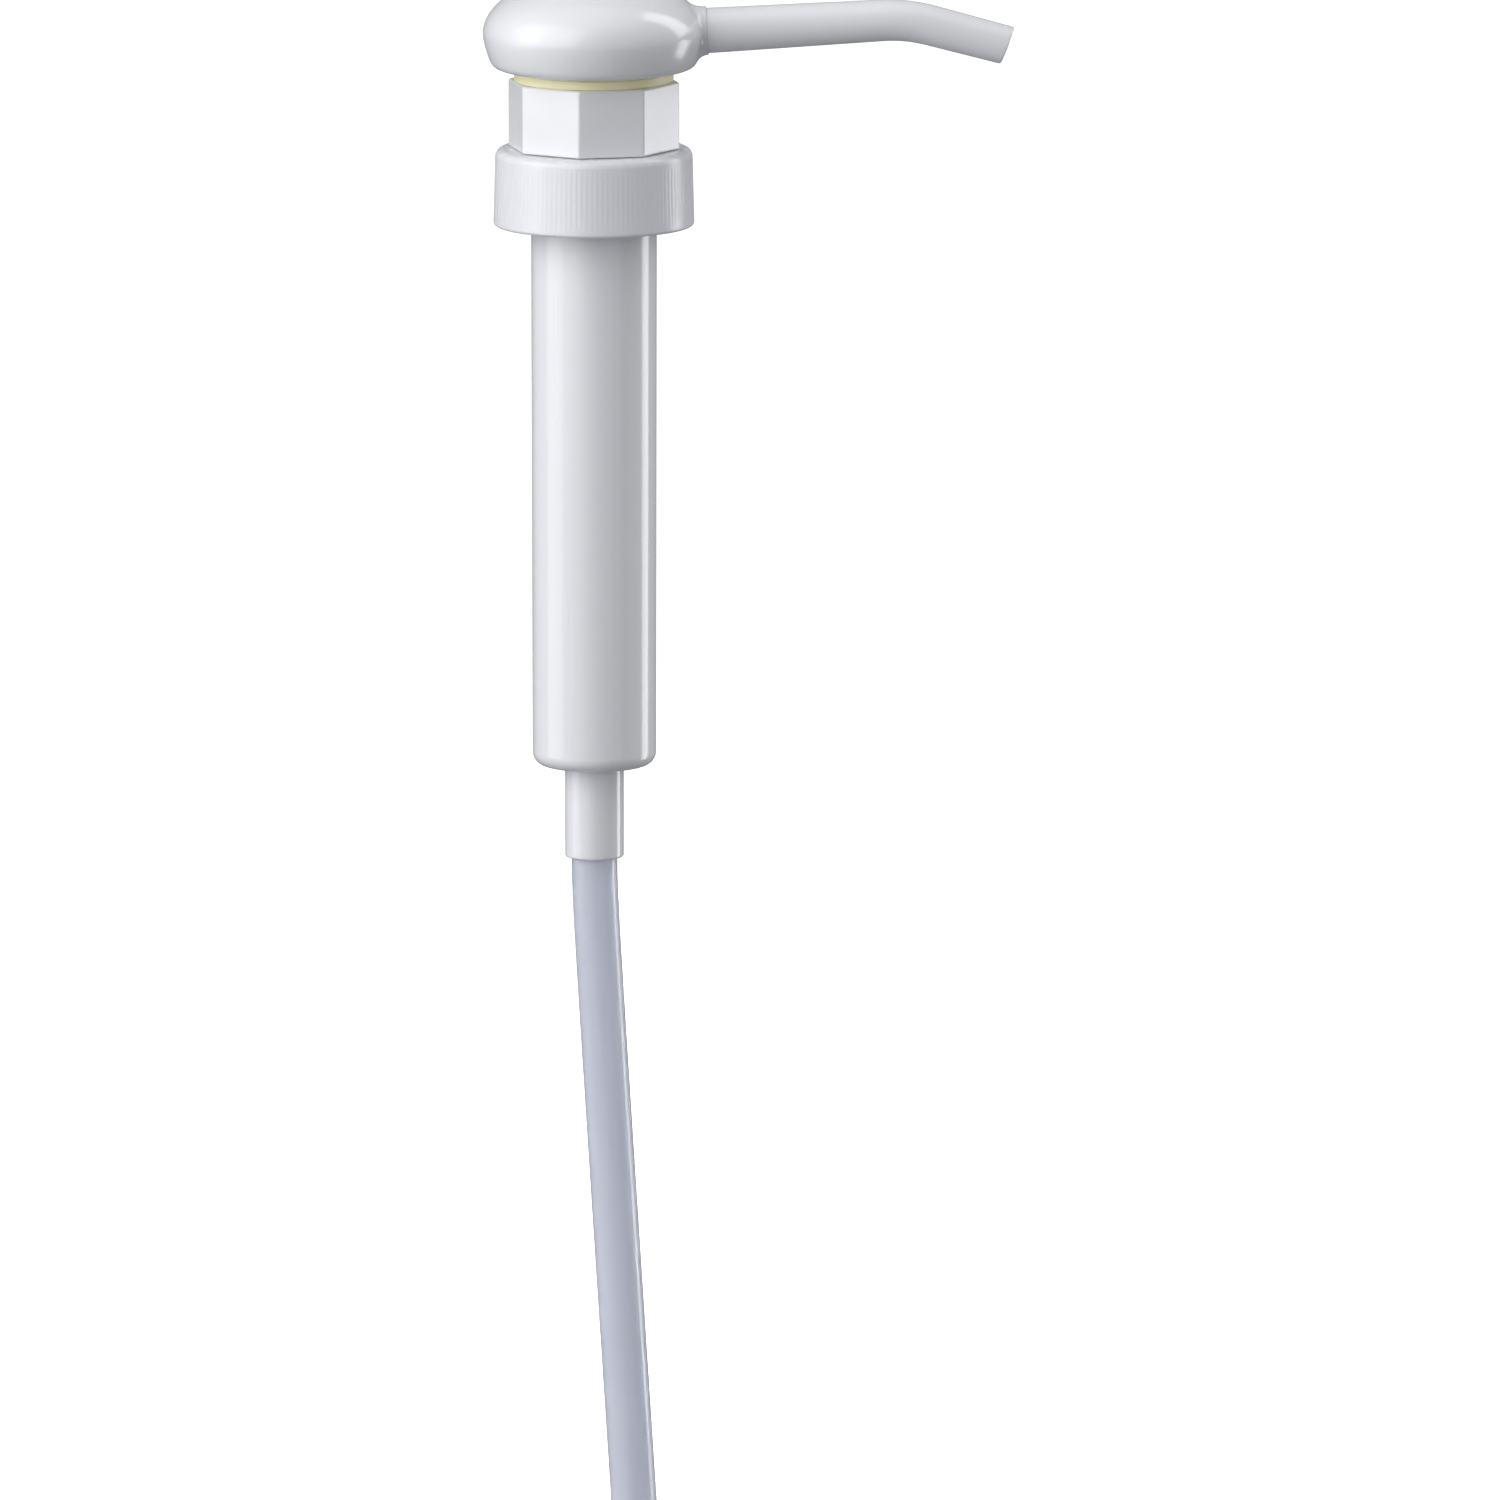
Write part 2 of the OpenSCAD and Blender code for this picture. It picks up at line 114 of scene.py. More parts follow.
def make_piece(name, skins, body, nodes, material, crease=32, turn_out=False):
    """Joins skins into one mesh in metres, merges each pole's points, and gives it to a body.

    turn_out is for a skin whose faces weren't all made in one direction.
    """
    starts = np.cumsum([0] + [len(points) for points, faces in skins])
    points = np.concatenate([points for points, faces in skins]) * MM
    faces = np.concatenate([faces + start for (p, faces), start in zip(skins, starts)])
    mesh = bpy.data.meshes.new(name)
    mesh.from_pydata(points, [], faces.tolist())
    work = bmesh.new()
    work.from_mesh(mesh)
    bmesh.ops.remove_doubles(work, verts=work.verts, dist=1e-6)
    if turn_out:
        bmesh.ops.recalc_face_normals(work, faces=work.faces)
    work.to_mesh(mesh)
    work.free()
    mesh.shade_smooth()
    mesh.set_sharp_from_angle(angle=math.radians(crease))
    mesh.materials.append(material)
    piece = bpy.data.objects.new(name, mesh)
    bpy.context.scene.collection.objects.link(piece)
    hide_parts(*nodes)
    if body:
        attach(piece, body)
    print(f"{name}: {len(mesh.polygons)} faces")
    return piece


# %% [markdown]
# ## Outlines with rounded corners
# No moulding has a truly sharp corner: the tool is polished, and the plastic shrinks away
# from it. A corner is therefore written as (radius, height, fillet), and the line is cut
# back on both sides of the corner to make room for an arc. Two extra points just outside
# each arc keep the smooth shading of the arc from leaking into the flat beside it.

# %% Rounding an outline and turning it
def rounded(corners, closed=True, steps=5):
    """A line of (radius, height) points through corners with fillets.

    At each corner the two unit directions u and v to its neighbours give the half angle h
    between them. The fillet f touches both lines f / tan(h) from the corner, and its
    centre lies f / sin(h) away, along u + v.
    """
    corners = np.array([c if len(c) == 3 else (*c, 0) for c in corners], float)
    line = []
    for i, (x, y, fillet) in enumerate(corners):
        end = not closed and i in (0, len(corners) - 1)
        if end or fillet == 0:
            line.append([[x, y]])
            continue
        here = np.array([x, y])
        sides = [corners[(i + k) % len(corners), :2] - here for k in (-1, 1)]
        spans = [np.linalg.norm(s) for s in sides]
        u, v = (s / n for s, n in zip(sides, spans))
        half = np.arccos(np.clip(u @ v, -1, 1)) / 2
        cut = min(fillet / np.tan(half), 0.42 * min(spans))
        f = cut * np.tan(half)
        middle = here + (u + v) / np.linalg.norm(u + v) * f / np.sin(half)
        first, last = here + u * cut - middle, here + v * cut - middle
        a = np.arctan2(first[1], first[0])
        sweep = (np.arctan2(last[1], last[0]) - a + math.pi) % TURN - math.pi
        angles = a + sweep * np.linspace(0, 1, steps + 1)
        arc = middle + f * np.stack([np.cos(angles), np.sin(angles)], -1)
        hold = 0.12 * min(f, 0.5)
        line.append(np.concatenate([[arc[0] + u * hold], arc, [arc[-1] + v * hold]]))
    return np.concatenate(line)


def turned(line, columns=192, change=None, ring=True):
    """Turns a line of (radius, height) about Z: x = r cos a, y = r sin a.

    change(angle, radius, height) is added to the radius, for ribs and threads.
    """
    angle = np.linspace(0, TURN, columns, endpoint=False)[None, :]
    r, z = line[:, 0][:, None] + 0 * angle, line[:, 1][:, None] + 0 * angle
    if change is not None:
        r = r + change(angle, r, z)
    return skin(np.stack([r * np.cos(angle), r * np.sin(angle), z], -1), ring)


def finer(line, step):
    """Adds points so that no two neighbours on a closed line are further apart than step."""
    after = np.roll(line, -1, axis=0)
    counts = np.ceil(np.linalg.norm(after - line, axis=1) / step).clip(1).astype(int)
    share = [np.arange(n)[:, None] / n for n in counts]
    return np.concatenate([p + (q - p) * s for p, q, s in zip(line, after, share)])


def fade(value, low, high, width):
    """1 between low and high, falling smoothly to 0 over width at both ends."""
    t = np.clip(np.minimum(value - low, high - value) / width, 0, 1)
    return t * t * (3 - 2 * t)


# %% [markdown]
# ## Plastic
# The pump's white parts are polypropylene from polished tools. Three things make it read
# as plastic and not as paint: a clear reflection, a little light that travels below the
# surface and softens the shadows, and a surface that is nearly but not quite even. The
# unevenness comes from noise: a broad one for the drift of tone that cooling leaves, a
# middle one that makes patches shinier or duller, and a fine one over a slower one as a
# bump. Where plastic flowed along a tall wall or a tube, all of them are stretched along it.

# %% A moulded plastic
def noise(nodes, links, place, scale, detail=3.0, stretch=(1, 1, 1)):
    """Noise on object coordinates: scale is in waves per metre, stretch is per axis."""
    mapping = nodes.new("ShaderNodeMapping")
    mapping.inputs["Scale"].default_value = stretch
    links.new(place, mapping.inputs["Vector"])
    texture = nodes.new("ShaderNodeTexNoise")
    texture.inputs["Scale"].default_value = scale
    texture.inputs["Detail"].default_value = detail
    links.new(mapping.outputs[0], texture.inputs["Vector"])
    return texture.outputs["Fac"]


def spread(nodes, links, value, low, high, span=(0.3, 0.7)):
    """Maps the middle of a noise's range onto low to high."""
    node = nodes.new("ShaderNodeMapRange")
    for name, number in zip(("From Min", "From Max", "To Min", "To Max"), (*span, low, high)):
        node.inputs[name].default_value = number
    links.new(value, node.inputs["Value"])
    return node.outputs["Result"]


def blend_colours(nodes, links, share, one, two):
    """one where share is 0, two where it is 1."""
    node = nodes.new("ShaderNodeMix")
    node.data_type = "RGBA"
    node.inputs[6].default_value = (*one, 1)
    node.inputs[7].default_value = (*two, 1)
    links.new(share, node.inputs[0])
    return node.outputs[2]


PATCH_WAVES, SLOWER, COAT_ROUGHNESS, LIGHT_DEPTH = 170, 0.12, 0.06, 0.0025


def plastic(name, pale, deep, gloss=(0.16, 0.26), fine=900, height=0.00002, stretch=(1, 1, 1),
            under=0.12, coat=0.25, clear=0.0, ior=1.49, metal=0.0, broad=38, wear=0.35):
    """A surface whose tone, gloss and fine bump all come from noise on object coordinates."""
    material = bpy.data.materials.new(name)
    material.use_nodes = True
    nodes, links = material.node_tree.nodes, material.node_tree.links
    shader = nodes["Principled BSDF"]
    place = nodes.new("ShaderNodeTexCoord").outputs["Object"]
    drift = noise(nodes, links, place, broad, 4.0, stretch)
    tone = spread(nodes, links, drift, 0, 1, (0.35, 0.7))
    links.new(blend_colours(nodes, links, tone, pale, deep), shader.inputs["Base Color"])
    patches = noise(nodes, links, place, PATCH_WAVES, 5.0, stretch)
    links.new(spread(nodes, links, patches, *gloss), shader.inputs["Roughness"])
    grain = noise(nodes, links, place, fine, 3.0, stretch)
    slow = noise(nodes, links, place, fine * SLOWER, 2.0, stretch)
    both = nodes.new("ShaderNodeMath")
    both.operation = "MULTIPLY_ADD"
    both.inputs[1].default_value = wear
    links.new(grain, both.inputs[0])
    links.new(slow, both.inputs[2])
    bump = nodes.new("ShaderNodeBump")
    bump.inputs["Strength"].default_value = 0.5
    bump.inputs["Distance"].default_value = height
    links.new(both.outputs[0], bump.inputs["Height"])
    links.new(bump.outputs[0], shader.inputs["Normal"])
    shader.inputs["Subsurface Weight"].default_value = under
    shader.inputs["Subsurface Radius"].default_value = (1.0, 0.95, 0.9)
    shader.inputs["Subsurface Scale"].default_value = LIGHT_DEPTH
    shader.inputs["Coat Weight"].default_value = coat
    shader.inputs["Coat Roughness"].default_value = COAT_ROUGHNESS
    shader.inputs["Transmission Weight"].default_value = clear
    shader.inputs["Metallic"].default_value = metal
    shader.inputs["IOR"].default_value = ior
    return material


UPRIGHT = (1, 1, 0.035)
polished_white = plastic("polished_white", (0.83, 0.84, 0.86), (0.77, 0.78, 0.81))
nut_white = plastic("nut_white", (0.82, 0.83, 0.85), (0.76, 0.77, 0.80), gloss=(0.12, 0.22), fine=700)
cap_white = plastic("cap_white", (0.82, 0.83, 0.86), (0.75, 0.76, 0.80), gloss=(0.2, 0.32),
                    fine=1300, height=0.00003, stretch=(1, 1, 0.08), coat=0.15)
barrel_white = plastic("barrel_white", (0.89, 0.895, 0.915), (0.82, 0.825, 0.86), gloss=(0.18, 0.3),
                       fine=800, height=0.00003, stretch=UPRIGHT, coat=0.6)
spout_white = plastic("spout_white", (0.83, 0.84, 0.86), (0.77, 0.78, 0.81), gloss=(0.1, 0.2),
                      fine=700, stretch=(0.06, 1, 1))
stem_white = plastic("stem_white", (0.80, 0.81, 0.83), (0.74, 0.75, 0.78), gloss=(0.2, 0.34),
                     fine=900, stretch=UPRIGHT)
clear_blue = plastic("clear_blue", (0.82, 0.835, 0.90), (0.74, 0.765, 0.85), gloss=(0.18, 0.3),
                     fine=700, height=0.00004, stretch=UPRIGHT, under=0.2, clear=0.5, ior=1.5)
pale_yellow = plastic("pale_yellow", (0.99, 0.95, 0.60), (0.92, 0.88, 0.52), gloss=(0.35, 0.5),
                      fine=1500, height=0.00004, coat=0.0)
print(len(bpy.data.materials), "materials so far")

# %% [markdown]
# ## The screw cap
# The cap holds the pump on the jug. It is a short cup with a hole in its top, a rounded
# shoulder and fine upright ribs for the fingers. It could be a lathe shape with the ribs
# cut into it, but ribs this shallow are only a ripple of the radius: a raised cosine,
# squared and repeated round the cap, that fades out before the shoulder and the rim.

# %% Screw cap with its thread
mounts = {m["name"]: m for m in frame["record"]["mounts"]}
cap_low, cap_high = box_mm("screw_cap")
gasket_high = box_mm("neck_gasket")[1]
cap_r, cap_foot, cap_top = cap_high[0], cap_low[2], cap_high[2]
FLANGE, BARREL_R = 1.8, 13.0
CAP_WALL, CAP_TAPER, CAP_HOLE_R = 1.7, 0.42, 13.4
RIBS, RIB_DEPTH = 120, 0.035
flange_top = gasket_high[2] + FLANGE
cap_ceiling = flange_top + 0.1
cap_inside = cap_r - CAP_WALL


def cap_ribs(angle, radius, height):
    """Minus the depth times the square of a raised cosine, only on the outer wall."""
    ripple = (0.5 + 0.5 * np.cos(RIBS * angle)) ** 2
    side = (radius > cap_r - CAP_TAPER - 0.15) * fade(height, cap_foot + 1.2, cap_top - 1.8, 1.6)
    return -RIB_DEPTH * ripple * side


cap_outline = finer(rounded([
    (cap_r, cap_foot, 1.1), (cap_r - CAP_TAPER, cap_top, 1.7), (CAP_HOLE_R, cap_top, 0.35),
    (CAP_HOLE_R, cap_ceiling, 0.3), (cap_inside, cap_ceiling, 0.9), (cap_inside + 0.05, cap_foot, 0.45),
]), 1.6)


def thread(radius, depth, pitch, start, turns, base, root, crest, columns=360):
    """A ridge that climbs by pitch each turn, with a rounded trapezoid for its section.

    The section's height is scaled by a smooth share that is 0 at both ends, so the ridge
    runs out into the wall. root and crest are half widths. A negative depth points towards
    the axis, and the two foot points are sunk a little into the wall behind.
    """
    t = np.linspace(0, 1, columns)[:, None]
    share = fade(t, 0, 1, 0.06)
    level = np.array([0, 0.8, 1, 1, 0.8, 0])
    foot = np.array([1, 0, 0, 0, 0, 1]) * -0.3 * np.sign(depth)
    half = np.array([root, crest * 1.2, crest * 0.8, -crest * 0.8, -crest * 1.2, -root])
    around = start + TURN * turns * t
    r = radius + foot + level * depth * share
    z = base + pitch * turns * t + half * (0.3 + 0.7 * share)
    points = np.stack([r * np.cos(around), r * np.sin(around), z], -1)
    ends = [points[k].mean(0) + 0 * points[k:k + 1] for k in (0, columns - 1)]
    return skin(np.concatenate([ends[0], points, ends[1]]), ring=False)


THREAD_PITCH, THREAD_DEPTH, THREAD_ROOT, THREAD_CREST = 4.23, 1.12, 1.15, 0.45
THREAD_TURNS, THREAD_END, THREAD_TOP = 7.1 / 6, math.radians(26), -3.4
jug_thread = thread(cap_inside, -THREAD_DEPTH, THREAD_PITCH, THREAD_END - TURN * THREAD_TURNS,
                    THREAD_TURNS, THREAD_TOP - THREAD_PITCH * THREAD_TURNS, THREAD_ROOT,
                    THREAD_CREST)
make_piece("cap_with_thread", [turned(cap_outline, 720, cap_ribs), jug_thread], "closure",
           ["screw_cap"], cap_white)

# %% [markdown]
# ## The neck gasket
# A soft ring between the pump's flange and the jug's rim keeps the jug tight. It would do
# as a flat ring, but the ones that seal well carry two fine beads on the face that meets
# the rim, and the bead is what the rim bites into. The outline below has them.

# %% Gasket
soft_grey = plastic("soft_grey", (0.70, 0.70, 0.68), (0.60, 0.60, 0.58), gloss=(0.5, 0.7),
                    fine=2200, height=0.00005, under=0.05, coat=0.0)
gasket_in = BARREL_R + 0.03
GASKET_BEAD = 0.12
gasket_out, gasket_top = gasket_high[0], gasket_high[2]
gasket_line = [(gasket_in, GASKET_BEAD, 0.2), (gasket_in, gasket_top, 0.2), (gasket_out, gasket_top, 0.3),
               (gasket_out, GASKET_BEAD, 0.3)]
for bead in (gasket_out - 0.9, gasket_in + 1.5):
    gasket_line += [(bead + 0.35, GASKET_BEAD), (bead + 0.15, 0.0, 0.1), (bead - 0.15, 0.0, 0.1),
                    (bead - 0.35, GASKET_BEAD)]
make_piece("beaded_gasket", [turned(rounded(gasket_line))], "pump_body", ["neck_gasket"],
           soft_grey)

# %% [markdown]
# ## The barrel
# The barrel is the pump's cylinder: a long tube with a flange that the cap clamps, a
# snap bead for the nut, a floor with the inlet valve's seat, and a nipple for the clear
# tube. It narrows a little towards its foot so that it leaves its tool. One outline turned
# about Z gives all of it. Only the vent hole isn't round the axis: for that, a small
# window is left out of the grid on both walls, and strips of faces join each window's
# edge to a circle and the two circles to each other.

# %% Barrel outline
barrel_low, barrel_high = box_mm("barrel")
nut_low, nut_high = box_mm("lock_nut")
inlet_low, inlet_high = box_mm("inlet_ball")
seat_low = box_mm("spring_seat")[0]
flange_r, spigot_top, nipple_foot = barrel_high[0], barrel_high[2], barrel_low[2]
BARREL_DRAFT, BARREL_WALL = 0.22, 1.75
NIPPLE_R, NIPPLE_BORE, NIPPLE_LENGTH, TUBE_SOCKET = 6.1, 4.78, 19.3, 4.0
VENT_R, VENT_TURN, VENT_Z, VENT_WINDOW = 0.75, math.radians(135), -3.5, 1.3
SNAP_BEAD, SNAP_HALF = 0.48, 0.8
vent_rows = VENT_Z + np.linspace(-VENT_WINDOW, VENT_WINDOW, 5)
bore_r = BARREL_R - BARREL_WALL
barrel_foot = nipple_foot + NIPPLE_LENGTH
barrel_floor = seat_low[2]
bead_z = (nut_low[2] + spigot_top) / 2
inlet_hole = 0.8 * (inlet_high[0] - inlet_low[0]) / 2
barrel_line = finer(rounded([
    (NIPPLE_BORE, nipple_foot, 0.25), (NIPPLE_R, nipple_foot, 0.6),
    (NIPPLE_R, barrel_foot, 0.9), (BARREL_R - BARREL_DRAFT, barrel_foot, 2.8),
    *[(BARREL_R - 0.01, z) for z in vent_rows],
    (BARREL_R, flange_top - FLANGE, 0.12), (flange_r, flange_top - FLANGE, 0.3),
    (flange_r, flange_top, 0.3), (BARREL_R, flange_top, 0.15),
    (BARREL_R, bead_z - SNAP_HALF), (BARREL_R + SNAP_BEAD, bead_z, 0.4), (BARREL_R, bead_z + SNAP_HALF),
    (BARREL_R, spigot_top, 0.35), (bore_r, spigot_top, 0.25),
    *[(bore_r, z) for z in vent_rows[::-1]],
    (bore_r, barrel_floor), (inlet_hole + 1.2, barrel_floor),
    (inlet_hole, barrel_floor - 2.2), (inlet_hole, barrel_foot - TUBE_SOCKET),
    (NIPPLE_BORE, barrel_foot - TUBE_SOCKET),
], steps=7), 3.0)
print("barrel outline:", len(barrel_line), "points")


# %% Barrel with its vent
def vented(line, columns=192, spare=4):
    """A turned ring with a round hole through its two walls.

    The faces of the vent's rows and a few columns are left out on each wall. An edge point
    of this window lies at (arc length, height) from the hole's centre, and scaling that to
    the hole's radius gives its partner on the circle.
    """
    points, faces = turned(line, columns)
    middle = round(VENT_TURN / TURN * columns)
    cols = np.arange(middle - spare, middle + spare + 1)
    inner = line[:, 0] < bore_r + 0.5
    drop, strips, circles, count = np.zeros(len(faces), bool), [], [], len(points)
    for wall in (inner, ~inner):
        rows = np.flatnonzero(wall & (np.abs(line[:, 1] - VENT_Z) < VENT_WINDOW + 0.01))
        rows = rows[np.argsort(line[rows, 1])]
        drop |= (np.isin(faces // columns, rows) & np.isin(faces % columns, cols)).all(1)
        edge = np.concatenate([rows[0] * columns + cols, rows[1:-1] * columns + cols[-1],
                               rows[-1] * columns + cols[::-1], rows[-2:0:-1] * columns + cols[0]])
        radius = np.hypot(points[edge, 0], points[edge, 1])
        across = (np.arctan2(points[edge, 1], points[edge, 0]) - VENT_TURN) * radius
        way = np.stack([across, points[edge, 2] - VENT_Z], -1)
        way *= VENT_R / np.linalg.norm(way, axis=1)[:, None]
        a = VENT_TURN + way[:, 0] / radius
        circles.append(np.stack([radius * np.cos(a), radius * np.sin(a), VENT_Z + way[:, 1]], -1))
        number = count + np.arange(len(edge))
        strips.append((edge, number))
        count += len(edge)
    strips.append((strips[0][1], strips[1][1]))
    around = [np.stack([a, np.roll(a, -1), np.roll(b, -1), b], -1) for a, b in strips]
    used, faces = np.unique(np.concatenate([faces[~drop], *around]), return_inverse=True)
    return np.concatenate([points, *circles])[used], faces.reshape(-1, 4)


make_piece("barrel_with_vent", [vented(barrel_line)], "pump_body", ["barrel"],
           barrel_white, turn_out=True)

# %% [markdown]
# ## The lock nut
# The octagonal nut clamps the guide into the barrel's top. An octagon with rounded upright
# edges is the set of points at one distance from a smaller octagon, so its radius in any
# direction has a formula: a straight side gives side distance / cos(angle), and a corner
# gives the circle round the smaller octagon's vertex. The rows of the nut's grid use that
# radius on the outside, a plain circle on the inside, and a mix of both on the flat faces
# between. The hole in its roof and the snap groove are then rows of the same grid.

# %% Octagonal nut
NUT_CORNER, NUT_EDGE, NUT_TURN = 0.75, 0.6, math.radians(-9.6)
LOCK_CUP_R, NUT_ROOF, NUT_FOOT = 9.42, 3.8, 0.35
nut_columns = 768
nut_bore = BARREL_R + 0.04
nut_flat = nut_high[0] / math.cos(NUT_TURN) * math.cos(TURN / 16)


def octagon(angle, flat, corner):
    """Distance from the axis to an octagon with rounded corners, in the direction angle."""
    eighth = TURN / 8
    off = (angle - NUT_TURN) % eighth
    off = np.minimum(off, eighth - off)
    reach = (flat - corner) / math.cos(eighth / 2)
    straight = flat / np.cos(eighth / 2 - off)
    bend = reach * np.cos(off) + np.sqrt(np.maximum(corner**2 - (reach * np.sin(off))**2, 0))
    side = (flat - corner) * math.tan(eighth / 2)
    return np.where(straight * np.sin(eighth / 2 - off) < side, straight, bend)


def nut_skin():
    """Rows of (share of octagon, radius, height): up the outside, over, and down the inside."""
    curl = np.radians(np.linspace(0, 90, 7))
    side = nut_flat - NUT_EDGE * (1 - np.cos(curl))
    top = nut_high[2] - NUT_EDGE * (1 - np.sin(curl))
    foot = nut_low[2] + NUT_FOOT * (1 - np.sin(curl[::-1]))
    low = nut_flat - NUT_FOOT * (1 - np.cos(curl[::-1]))
    heights = np.linspace(foot[-1] + 0.06, top[0] - 0.06, 9)
    outer = [*zip(low, foot), *[(nut_flat, z) for z in heights], *zip(side, top),
             (nut_flat - NUT_EDGE - 0.1, nut_high[2])]
    hole = rounded([(LOCK_CUP_R, nut_high[2], 0.3), (LOCK_CUP_R, nut_high[2] - NUT_ROOF, 0.2),
                    (nut_bore, nut_high[2] - NUT_ROOF, 0.2), (nut_bore, bead_z + SNAP_HALF + 0.04),
                    (nut_bore + 0.5, bead_z), (nut_bore, bead_z - SNAP_HALF - 0.04),
                    (nut_bore, nut_low[2], 0.3)])
    rows = [(1, *row) for row in outer]
    rows += [(1 - t, nut_flat - NUT_EDGE - 0.1 + (LOCK_CUP_R - nut_flat + NUT_EDGE + 0.6) * t,
              nut_high[2]) for t in (0.33, 0.67)]
    rows += [(0, *row) for row in hole]
    rows += [(t, nut_bore + (nut_flat - BARREL_R - 0.7) * t, nut_low[2]) for t in (0.33, 0.67)]
    share, radius, height = (np.array(column)[:, None] for column in zip(*rows))
    angle = np.linspace(0, TURN, nut_columns, endpoint=False)[None, :]
    corner = np.maximum(NUT_CORNER - (nut_flat - radius).clip(0, 0.6), 0.12)
    r = share * octagon(angle, radius, corner) + (1 - share) * radius
    return skin(np.stack([r * np.cos(angle), r * np.sin(angle), height + 0 * angle], -1))


make_piece("octagonal_nut", [nut_skin()], "pump_body", ["lock_nut"], nut_white)

# %% [markdown]
# ## The yellow ring
# A thin ring of softer plastic sits on the nut, so that the head lands quietly and doesn't
# squeak as it turns. It is a low washer with rounded edges, and one shallow groove in its
# upper face that gives it a little spring.

# %% Seal ring
ring_low, ring_high = box_mm("seal_ring")
ring_in = LOCK_CUP_R + 0.4
groove = (ring_in + ring_high[0]) / 2
groove_z = ring_high[2] - 0.25
make_piece("yellow_ring", [turned(rounded([
    (ring_in, ring_low[2], 0.2), (ring_in, ring_high[2], 0.3),
    (groove - 0.9, ring_high[2], 0.2), (groove - 0.5, groove_z, 0.2),
    (groove + 0.5, groove_z, 0.2), (groove + 0.9, ring_high[2], 0.2),
    (ring_high[0], ring_high[2], 0.35), (ring_high[0], ring_low[2], 0.3)]))],
    "pump_body", ["seal_ring"], pale_yellow)

# %% [markdown]
# ## The head
# The head is a shallow dome over a skirt that draws in towards its rim. The dome is half an
# ellipse, and the skirt's radius falls with a power of the depth, slowly at first. Below
# it is hollow, as moulded parts are, with a hub for the stem and thin ribs between hub and
# skirt. The hub's lower end is a boss with a fine thread that screws into the nut's cup to
# lock the pump shut. Each of these is its own closed skin in one mesh, which keeps every
# formula short; they overlap where the plastic is one.

# %% Dome, hub and ribs
head_low, head_high = box_mm("head")
stem_low, stem_high = box_mm("stem")
head_r, dome_top, boss_foot = -head_low[0], head_high[2], head_low[2]
rim_z = ring_high[2] + 0.15
DOME_HEIGHT, SKIRT_INSET, RIM_ROUND, HEAD_WALL, RIM_LAND = 12.2, 2.3, 3.0, 2.0, 1.3
STEM_R, STEM_BORE, BOSS_R = 5.5, 3.8, LOCK_CUP_R - 0.4
HUB_BORE_TOP, HEAD_RIBS = 27.0, 8
LOCK_PITCH, LOCK_DEPTH = 1.6, 0.26
wide_z = dome_top - DOME_HEIGHT


def skirt_radius(z):
    """Widest radius, less a term that grows slowly with depth and one that acts at the rim."""
    depth = np.clip((wide_z - z) / (wide_z - rim_z), 0, 1)
    return head_r - SKIRT_INSET * depth**1.55 - RIM_ROUND * depth**18


def dome_arc(wall, start, stop, count):
    """Part of the half ellipse, moved in by the wall, between two angles in degrees."""
    a = np.radians(np.linspace(start, stop, count))
    return np.stack([(head_r - wall) * np.cos(a), wide_z + (DOME_HEIGHT - wall) * np.sin(a)], -1)


cavity_r = skirt_radius(rim_z) - RIM_LAND
roof_angle = math.degrees(math.acos((cavity_r - 0.4) / (head_r - HEAD_WALL)))
skirt_z = rim_z + (wide_z - rim_z) * np.linspace(1, 0, 29)[1:]**2
lip_line = rounded([(cavity_r + 0.9, rim_z), (cavity_r, rim_z, 0.35), (cavity_r - 0.1, wide_z)],
                   closed=False)
shell = np.concatenate([
    dome_arc(0, 90, 0, 45), np.stack([skirt_radius(skirt_z), skirt_z], -1), lip_line,
    dome_arc(HEAD_WALL, roof_angle, 90, 30)])


def lock_wave(angle, height):
    """A two-start ripple: a rounded wave of the angle less the height."""
    return LOCK_DEPTH * (0.5 + 0.5 * np.cos(2 * angle - TURN * height / LOCK_PITCH))**0.8


def lock_thread(angle, radius, height):
    """The ripple on the boss's side, faded out before its ends."""
    side = (radius > BOSS_R - 0.05) * fade(height, boss_foot + 0.7, boss_foot + 6.2, 0.8)
    return lock_wave(angle, height) * side


hub_line = finer(rounded([
    (STEM_BORE, HUB_BORE_TOP), (STEM_BORE, stem_high[2] + 0.03), (STEM_R + 0.03, stem_high[2] + 0.03),
    (STEM_R + 0.03, boss_foot, 0.4), (BOSS_R, boss_foot, 0.6), (BOSS_R, dome_top - 3.2),
    (STEM_BORE + 1, dome_top - 1.2)]), 0.16)


def rib(turn, thick=1.4, steps=14):
    """A thin wall from the hub to the skirt: a rounded loop, thinner at its free lower edge."""
    t = np.linspace(0, 1, steps)[:, None]
    out = BOSS_R - 0.6 + (cavity_r + 1.1 - BOSS_R) * t
    roof = wide_z + (DOME_HEIGHT - 1.2) * np.sqrt(np.clip(1 - (out / (head_r - 1.2))**2, 0.02, 1))
    curl = np.radians(np.linspace(180, 360, 9))[None, :]
    foot = rim_z + 0.6 + 0.5 * np.sin(curl) + 0 * out
    across = np.concatenate([thick * 0.4 * np.cos(curl) + 0 * out,
                             0 * out + thick / 2, 0 * out - thick / 2], 1)
    height = np.concatenate([foot, roof, roof], 1)
    x, y = out * np.cos(turn) - across * np.sin(turn), out * np.sin(turn) + across * np.cos(turn)
    points = np.stack([x, y, height], -1)
    ends = [points[k].mean(0) + 0 * points[k:k + 1] for k in (0, steps - 1)]
    return skin(np.concatenate([ends[0], points, ends[1]]), ring=False)


ribs = [rib((k + 0.5) * TURN / HEAD_RIBS) for k in range(HEAD_RIBS)]
print("dome outline:", len(shell), "points,", len(ribs), "ribs")

